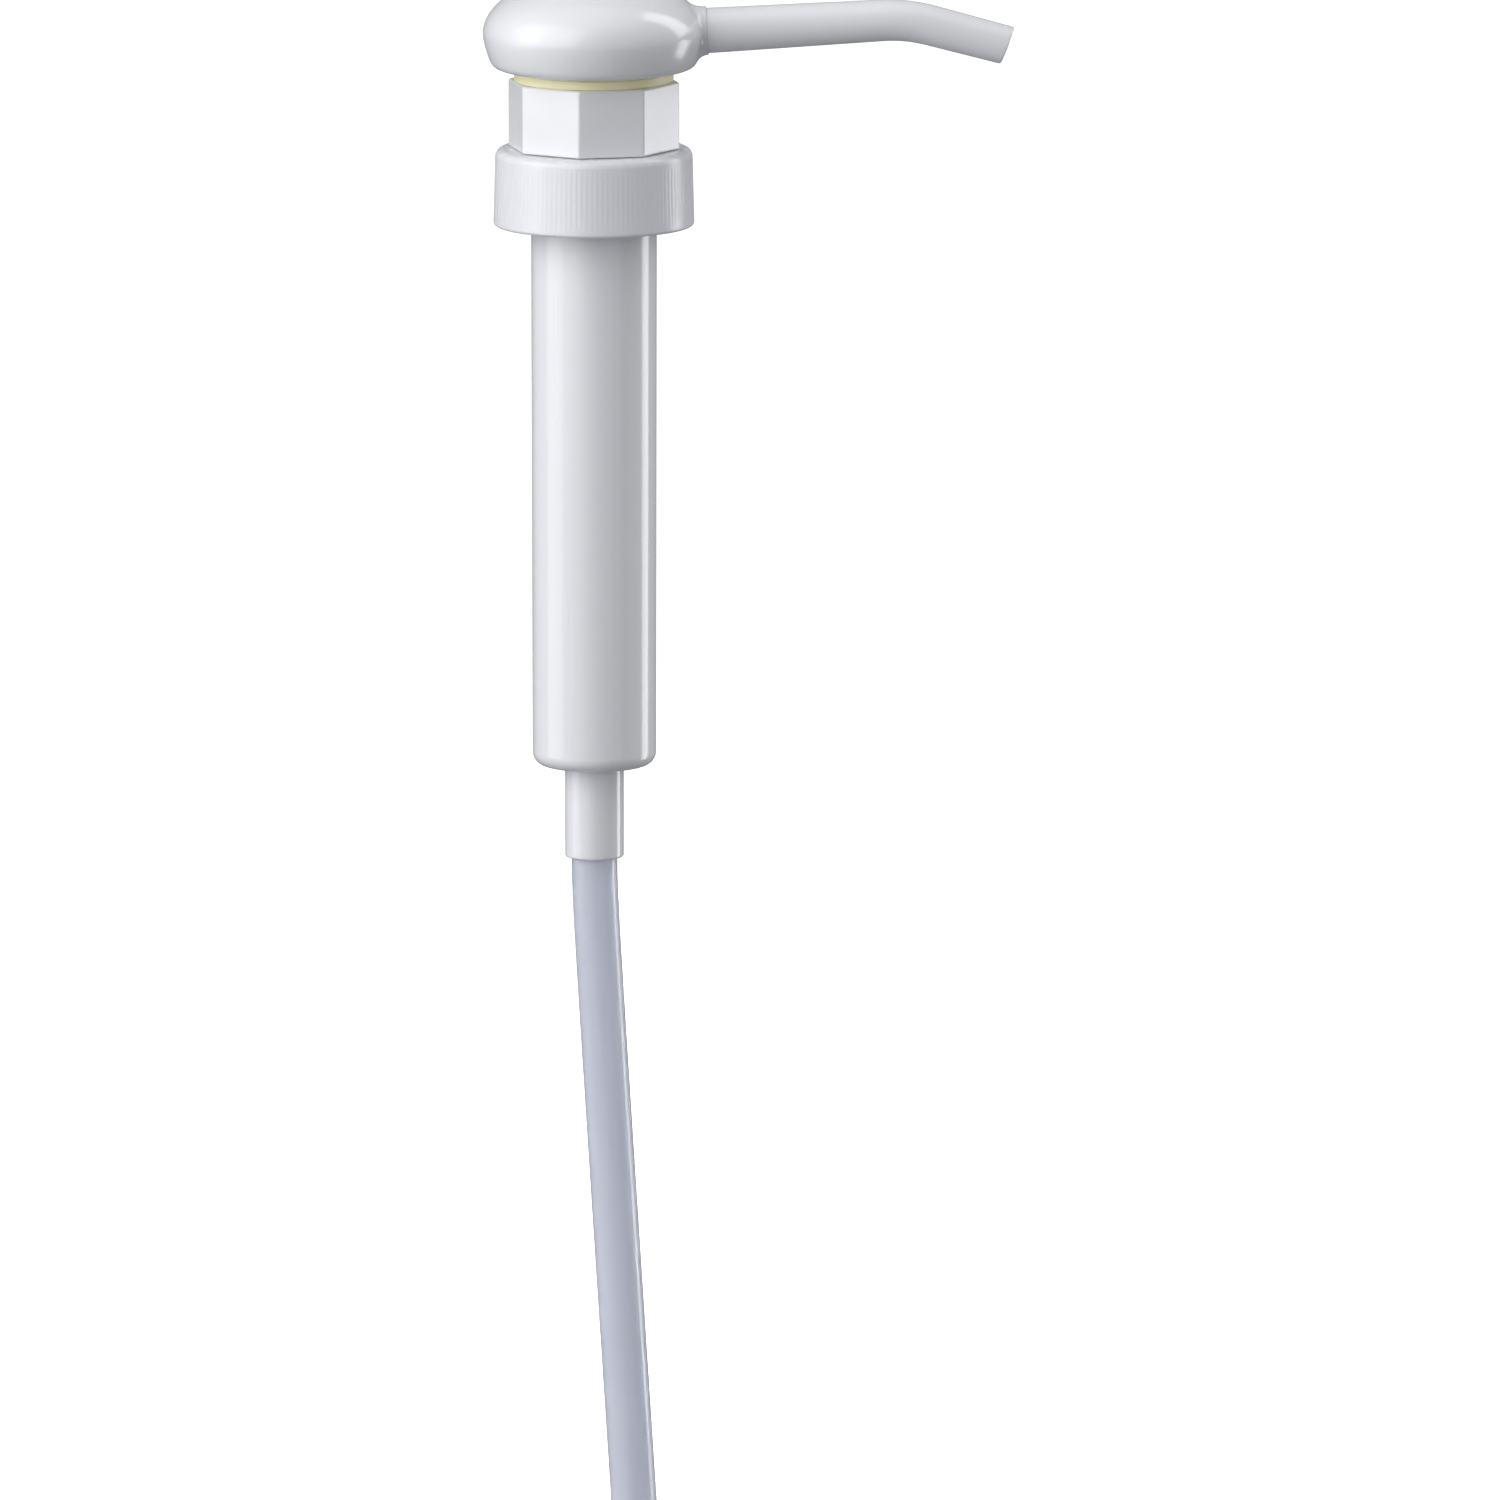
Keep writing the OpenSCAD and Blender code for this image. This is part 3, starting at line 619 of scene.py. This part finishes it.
# %% [markdown]
# ## Where the spout leaves the dome
# The spout is pushed into a socket, and the dome swells into a short collar round it. The
# collar is a patch of curves: each starts on the dome at a fixed distance from the spout's
# line, leaves along the dome's own surface, and arrives along the spout. Such a curve with
# two ends and two directions is Hermite's cubic. The place where the line of one distance
# meets the dome has no simple formula, so it is found by a few rounds of correction.

# %% Collar
spout_mount = mounts["spout_outlet"]
SPOUT_RISE, SPOUT_DROOP, SPOUT_REACH = math.radians(3.35), math.radians(14.8), 64.5
SPOUT_R, SPOUT_BEND_R, SPOUT_TIP_R = 4.7, 4.25, 4.05
SPOUT_ARC, TIP_CUT, CUT_BEHIND = 32.0, math.radians(21), 3.2
SPOUT_BORE = spout_mount["dims"]["r_mm"]
spout_z = wide_z - 0.8
plug_end = head_r + 0.4
along = np.array([math.cos(SPOUT_RISE), 0, math.sin(SPOUT_RISE)])
upward = np.array([-math.sin(SPOUT_RISE), 0, math.cos(SPOUT_RISE)])
sideways = np.array([0, 1, 0])


def on_dome(around, distance):
    """The point of the dome at a distance from the spout's line, by repeated correction."""
    ray = distance * (np.cos(around) * upward + np.sin(around) * sideways) + [0, 0, spout_z]
    travel = np.full(around.shape, head_r)
    for _ in range(12):
        here = ray + travel * along
        z = here[..., 2:3]
        high = head_r * np.sqrt(np.clip(1 - ((z - wide_z) / DOME_HEIGHT)**2, 0.01, 1))
        radius = np.where(z > wide_z, high, skirt_radius(z))
        wanted = np.sqrt(radius**2 - here[..., 1:2]**2)
        travel = travel + (wanted - here[..., 0:1])
    return ray + travel * along


def collar(foot=6.5, lip=5.05, columns=144, rows=16):
    """Hermite curves from the dome to a lip round the spout, then back inside the wall."""
    around = np.linspace(0, TURN, columns, endpoint=False)[:, None]
    start, inward = on_dome(around, foot + 0 * around), on_dome(around, foot - 0.3 + 0 * around)
    leave = (inward - start) / np.linalg.norm(inward - start, axis=1, keepdims=True)
    ring_way = np.cos(around) * upward + np.sin(around) * sideways
    end = [0, 0, spout_z] + lip * ring_way + plug_end * along
    t = np.linspace(0, 1, rows)[:, None, None]
    span = np.linalg.norm(end - start, axis=1, keepdims=True) * 1.1
    curve = ((2 * t**3 - 3 * t**2 + 1) * start + (t**3 - 2 * t**2 + t) * leave * span
             + (3 * t**2 - 2 * t**3) * end + (t**3 - t**2) * along * span)
    edge = np.radians(np.array([30, 60, 90]))[:, None, None]
    lip_curve = end - 0.15 * (1 - np.cos(edge)) * ring_way + 0.15 * np.sin(edge) * along
    inside = [end - (lip - SPOUT_R - 0.04) * ring_way + 0.15 * along,
              end - (lip - SPOUT_R - 0.04) * ring_way - 7.0 * along,
              start - 0.9 * along - 0.3 * ring_way]
    grid = np.concatenate([start[None] - 0.05 * along - 0.1 * leave, curve, lip_curve, np.array(inside)])
    return skin(grid)


head_skins = [turned(shell, 288, ring=False), turned(hub_line, 288, lock_thread), *ribs, collar()]
make_piece("domed_head", head_skins, "pump_head", ["head"], polished_white)

# %% [markdown]
# ## The spout
# The spout is a long tube that thins towards its tip, bends down gently just before it, and
# is cut at a slant so that a drop falls clean. It is a circle carried along a line: the
# line is two straight runs with an arc that touches both, and each row of the grid says
# how far along it is and how wide. The outside, the rounded rim of the tip and the bore
# are one list of such rows. The slant shifts each point along the line by its height in
# the circle, and the shift fades out behind the tip.

# %% A circle carried along a line
def bent_line(corners, radius, beyond=4.0):
    """Points every 0.1 mm through (x, z) corners, with an arc of that radius at the middle one."""
    first, middle, last = (np.array(c, float) for c in corners)
    u, v = first - middle, last - middle
    runs = np.linalg.norm(u), np.linalg.norm(v)
    u, v = u / runs[0], v / runs[1]
    half = math.acos(u @ v) / 2
    cut = radius / math.tan(half)
    centre = middle + (u + v) / np.linalg.norm(u + v) * radius / math.sin(half)
    a = middle + u * cut - centre
    turn = math.pi - 2 * half
    sign = np.sign(a[0] * (middle - centre)[1] - a[1] * (middle - centre)[0])
    angles = sign * np.linspace(0, turn, 100)
    arc = centre + np.stack([a[0] * np.cos(angles) - a[1] * np.sin(angles),
                             a[0] * np.sin(angles) + a[1] * np.cos(angles)], -1)
    before = first + (arc[0] - first) * np.linspace(0, 1, 400)[:-1, None]
    after = arc[-1] + (last + v * beyond - arc[-1]) * np.linspace(0, 1, 300)[1:, None]
    return np.concatenate([before, arc, after])


def carried(line, rows, columns=96, slant=0.0, slant_from=1e9):
    """Circles of rows (distance, radius) round a line in the XZ plane, as one closed ring."""
    s = np.concatenate([[0], np.cumsum(np.hypot(*np.diff(line, axis=0).T))])
    slope = np.unwrap(np.arctan2(np.gradient(line[:, 1], s), np.gradient(line[:, 0], s)))
    angle = np.linspace(0, TURN, columns, endpoint=False)[None, :]
    rows = np.array(rows, float)
    r = rows[:, 1][:, None]
    share = np.clip((rows[:, 0][:, None] - slant_from) / 3.0, 0, 1)
    d = rows[:, 0][:, None] + share * slant * r * np.cos(angle)
    tilt = np.interp(d, s, slope)
    x = np.interp(d, s, line[:, 0]) - r * np.cos(angle) * np.sin(tilt)
    z = np.interp(d, s, line[:, 1]) + r * np.cos(angle) * np.cos(tilt)
    return skin(np.stack([x, r * np.sin(angle) + 0 * z, z], -1))


def tube_rows(length, outer, inner, edge, step=1.0):
    """Rows of a tube's outside, rounded end, bore and square start, as (distance, radius)."""
    d = np.arange(0.3, length - edge, step)
    curl = np.radians(np.linspace(0, 90, 6))
    outside = [(0.0, outer(0) - 0.25), (0.08, outer(0) - 0.08), *zip(d, outer(d))]
    rim = [(length - edge + edge * math.sin(c), outer(length) - edge + edge * math.cos(c)) for c in curl]
    rim += [(length - 0.12 * (1 - math.cos(c)), inner + 0.12 * (1 - math.sin(c))) for c in curl]
    return outside + rim + [(x, inner) for x in d[::-1]] + [(0.0, inner)]


# %% Spout
spout_root = STEM_R + 1.15
tip = np.array(spout_mount["pos_m"]) / MM
bend = np.array([SPOUT_REACH * math.cos(SPOUT_RISE), spout_z + SPOUT_REACH * math.sin(SPOUT_RISE)])
root = np.array([spout_root * math.cos(SPOUT_RISE), spout_z + spout_root * math.sin(SPOUT_RISE)])
spout_line = bent_line([root, bend, tip[[0, 2]]], SPOUT_ARC)
bend_at = SPOUT_REACH - spout_root
spout_length = bend_at + np.linalg.norm(tip[[0, 2]] - bend) - 0.05


def spout_width(d):
    """Straight in the socket, then thinner in proportion to the distance, in two stages."""
    return np.interp(d, [0, plug_end - spout_root, bend_at, spout_length],
                     [SPOUT_R, SPOUT_R, SPOUT_BEND_R, SPOUT_TIP_R])


SLANT = math.tan(TIP_CUT - SPOUT_DROOP)
spout_rows = tube_rows(spout_length, spout_width, SPOUT_BORE, 0.35)
make_piece("bent_spout", [carried(spout_line, spout_rows, 96, SLANT, spout_length - CUT_BEHIND)],
           "pump_head", ["spout"], spout_white)
print("spout is", round(spout_length, 1), "mm long; its tip is at", tip.round(1))

# %% [markdown]
# ## The dip tube
# The dip tube is a stiff extrusion with a slight lean set into it: straight in the
# nipple, then curving away more and more slowly. Its sideways place is a hyperbola,
# sqrt(t^2 + k^2) - k, which starts flat and ends as a straight slope. The plastic is
# milky and lets some light through, a little bluer than the white parts.

# %% Dip tube
tube_mount = mounts["tube_inlet"]
tube_end = np.array(tube_mount["pos_m"]) / MM
TUBE_R, TUBE_BORE = 4.75, tube_mount["dims"]["r_mm"]
tube_top = barrel_foot - TUBE_SOCKET + 0.05
K = 0.06
t = np.linspace(0, 1.02, 1200)
free = nipple_foot - tube_end[2]
curve_z = nipple_foot - free * t
curve_x = tube_end[0] * (np.sqrt(t**2 + K**2) - K) / (math.sqrt(1 + K**2) - K)
straight = np.stack([np.zeros(40), np.linspace(tube_top, nipple_foot, 41)[:-1]], -1)
tube_line = np.concatenate([straight, np.stack([curve_x, curve_z], -1)])
steps_along = np.hypot(*np.diff(tube_line, axis=0).T)
reach_end = np.flatnonzero(tube_line[:, 1] > tube_end[2])[-1]
tube_length = steps_along[:reach_end].sum()
tube_rows_list = tube_rows(tube_length, lambda d: TUBE_R + 0 * d, TUBE_BORE, 0.3, 2.0)
make_piece("leaning_dip_tube", [carried(tube_line, tube_rows_list, 96)], "pump_body",
           ["dip_tube"], clear_blue)
print("tube is", round(tube_length, 1), "mm long")

# %% [markdown]
# ## The stem and its guide
# The stem carries the sauce up to the head, and shows its whole length when the pump is
# up. It is a tube with rounded ends, and a bar across its foot keeps the outlet ball in.
# The guide centres it: a bushing with a flange, a pocket for the wiper below, and above a
# cup with the thread that the head's boss screws into. The cup's wall has the same wave as
# the boss, so that the two mesh with an even gap.

# %% Stem, guide and wiper
def cross_bar(length, width, foot, height):
    """A bar along X: a rounded rectangle carried from one end to the other, closed by fans."""
    loop = rounded([(-width / 2, foot, 0.25), (width / 2, foot, 0.25),
                    (width / 2, foot + height, 0.25), (-width / 2, foot + height, 0.25)])
    x = np.linspace(-length / 2, length / 2, 5)[:, None]
    points = np.stack([x + 0 * loop[:, 0], loop[:, 0] + 0 * x, loop[:, 1] + 0 * x], -1)
    ends = [points[k].mean(0) + 0 * points[k:k + 1] for k in (0, 4)]
    return skin(np.concatenate([ends[0], points, ends[1]]), ring=False)


stem_foot, stem_top = stem_low[2], stem_high[2]
stem_line = finer(rounded([(STEM_BORE, stem_foot, 0.3), (STEM_R, stem_foot, 0.4),
                           (STEM_R, stem_top, 0.5), (STEM_BORE, stem_top, 0.3)]), 6.0)
make_piece("hollow_stem", [turned(stem_line, 96), cross_bar(2 * STEM_BORE + 0.6, 1.2, stem_foot, 2.0)],
           "pump_head", ["stem"], stem_white)

guide_low, guide_high = box_mm("stem_guide")
wiper_low, wiper_high = box_mm("stem_wiper")
natural = plastic("natural_white", (0.78, 0.77, 0.72), (0.68, 0.67, 0.61), gloss=(0.25, 0.4),
                  fine=1000, under=0.2, coat=0.1)
cup_floor = boss_foot - 0.4
guide_bore = bore_r - 0.03
wiper_in, wiper_out = STEM_R + 0.05, wiper_high[0]


def cup_thread(angle, radius, height):
    """The boss's wave again, cut outwards into the cup's wall."""
    near = np.abs(radius - LOCK_CUP_R) < 0.01
    return lock_wave(angle, height) * near * fade(height, boss_foot + 0.3, nut_high[2] - NUT_ROOF - 0.3, 0.6)


guide_line = finer(rounded([
    (guide_bore, guide_low[2], 0.4), (guide_bore, spigot_top), (guide_high[0], spigot_top, 0.2),
    (guide_high[0], guide_high[2], 0.3), (LOCK_CUP_R, guide_high[2], 0.15),
    (LOCK_CUP_R, cup_floor, 0.5), (wiper_in, cup_floor, 0.5),
    (wiper_in, wiper_high[2] + 0.03, 0.1), (wiper_out + 0.03, wiper_high[2] + 0.03),
    (wiper_out + 0.03, wiper_low[2] - 0.03), (wiper_in, wiper_low[2] - 0.03, 0.1),
    (wiper_in, guide_low[2], 0.2)]), 0.2)
make_piece("guide_with_cup", [turned(guide_line, 192, cup_thread)], "pump_body", ["stem_guide"],
           natural)

dark_rubber = plastic("dark_rubber", (0.055, 0.056, 0.06), (0.035, 0.035, 0.04), gloss=(0.45, 0.65),
                      fine=2400, height=0.00004, under=0.0, coat=0.0)
waist = (wiper_low[2] + wiper_high[2]) / 2
make_piece("lip_wiper", [turned(rounded([
    (wiper_out, wiper_low[2], 0.15), (wiper_out, wiper_high[2], 0.15),
    (STEM_R + 0.6, wiper_high[2], 0.1), (wiper_in, wiper_high[2] - 0.5, 0.08),
    (wiper_in, wiper_high[2] - 0.8, 0.08), (STEM_R + 0.6, waist, 0.3),
    (wiper_in, wiper_low[2] + 0.8, 0.08), (wiper_in, wiper_low[2] + 0.5, 0.08),
    (STEM_R + 0.6, wiper_low[2], 0.1)]))], "pump_body", ["stem_wiper"], dark_rubber)

# %% [markdown]
# ## The piston and its cup
# The piston is a sleeve on the stem's foot. Its seat for the outlet ball is a cone, and two
# collars hold a soft cup whose lips wipe the barrel on the way up and on the way down.
# Both are turned outlines; the lips' edges stay nearly sharp and their roots are rounder.

# %% Piston and cup
piston_low, piston_high = box_mm("piston")
cup_low, cup_high = box_mm("piston_cup")
outlet_low, outlet_high = box_mm("outlet_ball")
core_r = bore_r - 2.6
outlet_hole = 0.74 * (outlet_high[0] - outlet_low[0]) / 2
chamber = (outlet_high[0] - outlet_low[0]) / 2 + 0.85
p0, p1 = piston_low[2], piston_high[2]
make_piece("seated_piston", [turned(rounded([
    (outlet_hole, p0, 0.3), (piston_high[0], p0, 0.4), (piston_high[0], cup_low[2] - 0.03, 0.3),
    (core_r, cup_low[2] - 0.03), (core_r, cup_high[2] + 0.03), (core_r + 0.8, cup_high[2] + 0.03, 0.2),
    (core_r + 0.2, p1, 0.3), (STEM_R + 0.05, p1, 0.3), (STEM_R + 0.05, stem_foot - 0.15),
    (chamber, stem_foot - 0.15), (chamber, p0 + 3.0), (outlet_hole + 1.12, p0 + 3.0),
    (outlet_hole, p0 + 1.0)]))], "plunger", ["piston"], stem_white)

c0, c1, lip = cup_low[2], cup_high[2], cup_high[0]
cup_in = core_r + 0.03
make_piece("double_lip_cup", [turned(rounded([
    (cup_in, c0, 0.1), (cup_in + 0.9, c0, 0.1), (cup_in + 1.1, c0 + 1.8, 0.3), (lip - 0.5, c0, 0.1),
    (lip, c0, 0.06), (lip, c0 + 0.8, 0.2), (lip - 0.45, c0 + 3, 0.6), (lip - 0.45, c1 - 3, 0.6),
    (lip, c1 - 0.8, 0.2), (lip, c1, 0.06), (lip - 0.5, c1, 0.1), (cup_in + 1.1, c1 - 1.8, 0.3),
    (cup_in + 0.9, c1, 0.1), (cup_in, c1, 0.1)]))], "plunger", ["piston_cup"], dark_rubber)

# %% [markdown]
# ## The spring
# A steel spring pushes the piston up. The engineering model draws it as rings, because
# there it only has to be in the way; a real one is a single wire on a helix, closed at both
# ends. The wire's circle is carried along the helix, and near each end the climb stops.
# The coil's mesh is then baked into world space and its points are read into an array; nothing makes it open
# when the pump rises.

# %% Spring
drawn_steel = plastic("drawn_steel", (0.62, 0.62, 0.61), (0.45, 0.45, 0.46), gloss=(0.22, 0.36),
                      fine=2600, under=0.0, coat=0.0, metal=1.0)
spring_low, spring_high = box_mm("spring")
WIRE_R, SPRING_TURNS, WIRE_COLUMNS, ROWS_PER_TURN = 0.69, 9, 12, 56
coil_r = spring_high[1] - 0.7
COIL_END, COIL_PARTS = 0.72, 11
coil_foot, coil_climb = spring_low[2] + COIL_END, spring_high[2] - spring_low[2] - 2 * COIL_END


def climb(t):
    """0 over the first eleventh of the wire, 1 over the last, straight between."""
    return np.clip((t * COIL_PARTS - 1) / (COIL_PARTS - 2), 0, 1)


t = np.linspace(0, 1, SPRING_TURNS * ROWS_PER_TURN)
coil_a = TURN * SPRING_TURNS * t
out = np.stack([np.cos(coil_a), np.sin(coil_a), 0 * t], -1)[:, None]
middle = coil_r * out + (coil_foot + coil_climb * climb(t))[:, None, None] * [0, 0, 1]
section = np.linspace(0, TURN, WIRE_COLUMNS, endpoint=False)[:, None]
wire = middle + WIRE_R * (np.cos(section) * out + np.sin(section) * [0, 0, 1])
wire = np.concatenate([middle[:1] + 0 * wire[:1], wire, middle[-1:] + 0 * wire[:1]])
coil = make_piece("coil_spring", [skin(wire, ring=False)], None, ["spring"], drawn_steel)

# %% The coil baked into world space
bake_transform(coil)
where = np.zeros(len(coil.data.vertices) * 3)
coil.data.vertices.foreach_get("co", where)

# %% [markdown]
# ## Balls and the spring's seat
# The two valve balls are ground steel, and the seat that cages the lower one is a small
# moulding with windows. Their engineering shapes are already the real ones, so they stay,
# with finishes of their own: fine grinding marks on the balls, milky plastic on the seat.

# %% Finishes for the pieces that stay
ground_steel = plastic("ground_steel", (0.68, 0.68, 0.69), (0.55, 0.55, 0.57), gloss=(0.06, 0.14),
                       fine=3200, height=0.000006, under=0.0, coat=0.0, metal=1.0)
for node, material in (("inlet_ball", ground_steel), ("outlet_ball", ground_steel),
                       ("spring_seat", natural)):
    kept = frame["nodes"][node]
    kept.data.materials.clear()
    kept.data.materials.append(material)
    print(node, "keeps its shape and gets", material.name)

# %% [markdown]
# ## Camera
# The pump is seen square on from a little above, through a long lens, so that its sides
# stay parallel. The picture is square and cuts the dome and the tube's end off, so the
# frame's width is given in metres, and its centre as a step from the middle of the box.

# %% Camera
scene = bpy.context.scene
centre = (cad_low + cad_high) / 2
ELEVATION, DISTANCE, FRAME_WIDTH, SENSOR = math.radians(9.3), 6.0, 0.3102, 36.0
AIM_STEP = Vector((0.0003, 0.0, 0.0069))
aim = centre + AIM_STEP
aim.y = 0
back = Vector((0, -math.cos(ELEVATION), math.sin(ELEVATION)))
camera_data = bpy.data.cameras.new("long_lens")
camera_data.sensor_width = SENSOR
camera_data.lens = SENSOR * DISTANCE / FRAME_WIDTH
camera_data.clip_end = 100
camera = bpy.data.objects.new("camera", camera_data)
camera.location = aim + back * DISTANCE
camera.rotation_mode = "QUATERNION"
camera.rotation_quaternion = (-back).to_track_quat("-Z", "Y")
scene.collection.objects.link(camera)
scene.camera = camera
print("lens", round(camera_data.lens), "mm")

# %% [markdown]
# ## Floor and light
# A white product on white needs light that comes from sides and not from everywhere, or
# its form disappears. A large soft light stands at the front left, with a smaller one
# lower and further round, and a tall narrow one stands at the right for the shaded side.
# Two weak ones, overhead and at the front right, lift the shadows. The floor is a wide
# pale bowl whose edge curves up all round, so it has no horizon from any side, and it
# glows so that it stays even.

# %% Floor
def pale_floor():
    """Matt off-white paper with a very faint mottling, and a glow that keeps it even."""
    material = plastic("pale_paper", (0.93, 0.93, 0.93), (0.90, 0.90, 0.91), gloss=(0.75, 0.9), fine=60,
                       height=0.0001, under=0.0, coat=0.0, broad=3)
    shader = material.node_tree.nodes["Principled BSDF"]
    shader.inputs["Emission Color"].default_value = (1, 1, 1, 1)
    shader.inputs["Emission Strength"].default_value = 0.9
    return material


floor_z = cad_low.z - 0.0006
FLOOR_R, BEND_R, WALL = 7.0, 3.0, 6.0
bend_angle = np.radians(np.linspace(0, 90, 17))
reach = np.concatenate([[0.0, 0.6, 2.0, 6.0], FLOOR_R + BEND_R * np.sin(bend_angle), [FLOOR_R + BEND_R]])
rise = np.concatenate([[0.0] * 4, BEND_R - BEND_R * np.cos(bend_angle), [WALL]])
bowl_points, bowl_faces = turned(np.stack([reach, rise], -1), 64, ring=False)
floor_mesh = bpy.data.meshes.new("pale_floor")
floor_mesh.from_pydata(bowl_points + [0, 0, floor_z], [], bowl_faces.tolist())
floor_mesh.shade_smooth()
floor_mesh.materials.append(pale_floor())
floor = bpy.data.objects.new("pale_floor", floor_mesh)
scene.collection.objects.link(floor)
floor.visible_glossy = False
floor.visible_diffuse = False


# %% Lights
def soft_light(name, azimuth, elevation, distance, width, height, power):
    """A rectangle of light at a compass angle round the object (0 is in front), facing it."""
    a, e = math.radians(azimuth), math.radians(elevation)
    data = bpy.data.lights.new(name, "AREA")
    data.shape, data.size, data.size_y = "RECTANGLE", width, height
    data.energy = power
    light = bpy.data.objects.new(name, data)
    way = Vector((math.sin(a) * math.cos(e), -math.cos(a) * math.cos(e), math.sin(e)))
    light.location = aim + way * distance
    light.rotation_euler = (-way).to_track_quat("-Z", "Y").to_euler()
    scene.collection.objects.link(light)
    return light


soft_light("left_key", -50, 26, 1.8, 2.2, 2.2, 29)
soft_light("left_window", -78, 14, 1.8, 1.2, 1.8, 9)
soft_light("overhead", 20, 80, 1.6, 1.4, 1.4, 3)
soft_light("right_edge", 110, 20, 1.3, 0.5, 2.4, 14)
soft_light("right_fill", 35, 5, 2.4, 1.5, 1.5, 3)
world = bpy.data.worlds.new("studio_air")
world.use_nodes = True
world.node_tree.nodes["Background"].inputs["Color"].default_value = (0.94, 0.955, 1.0, 1)
world.node_tree.nodes["Background"].inputs["Strength"].default_value = 0.235
scene.world = world
scene.view_settings.view_transform = "Standard"
scene.view_settings.look = "None"

# %% [markdown]
# ## The engineering model's box
# The visual model has to stay in the space that the engineering model takes. That space's box is printed
# here, in millimetres.

# %% Sizes
print("CAD box", [round(v / MM, 1) for v in (*cad_low, *cad_high)])
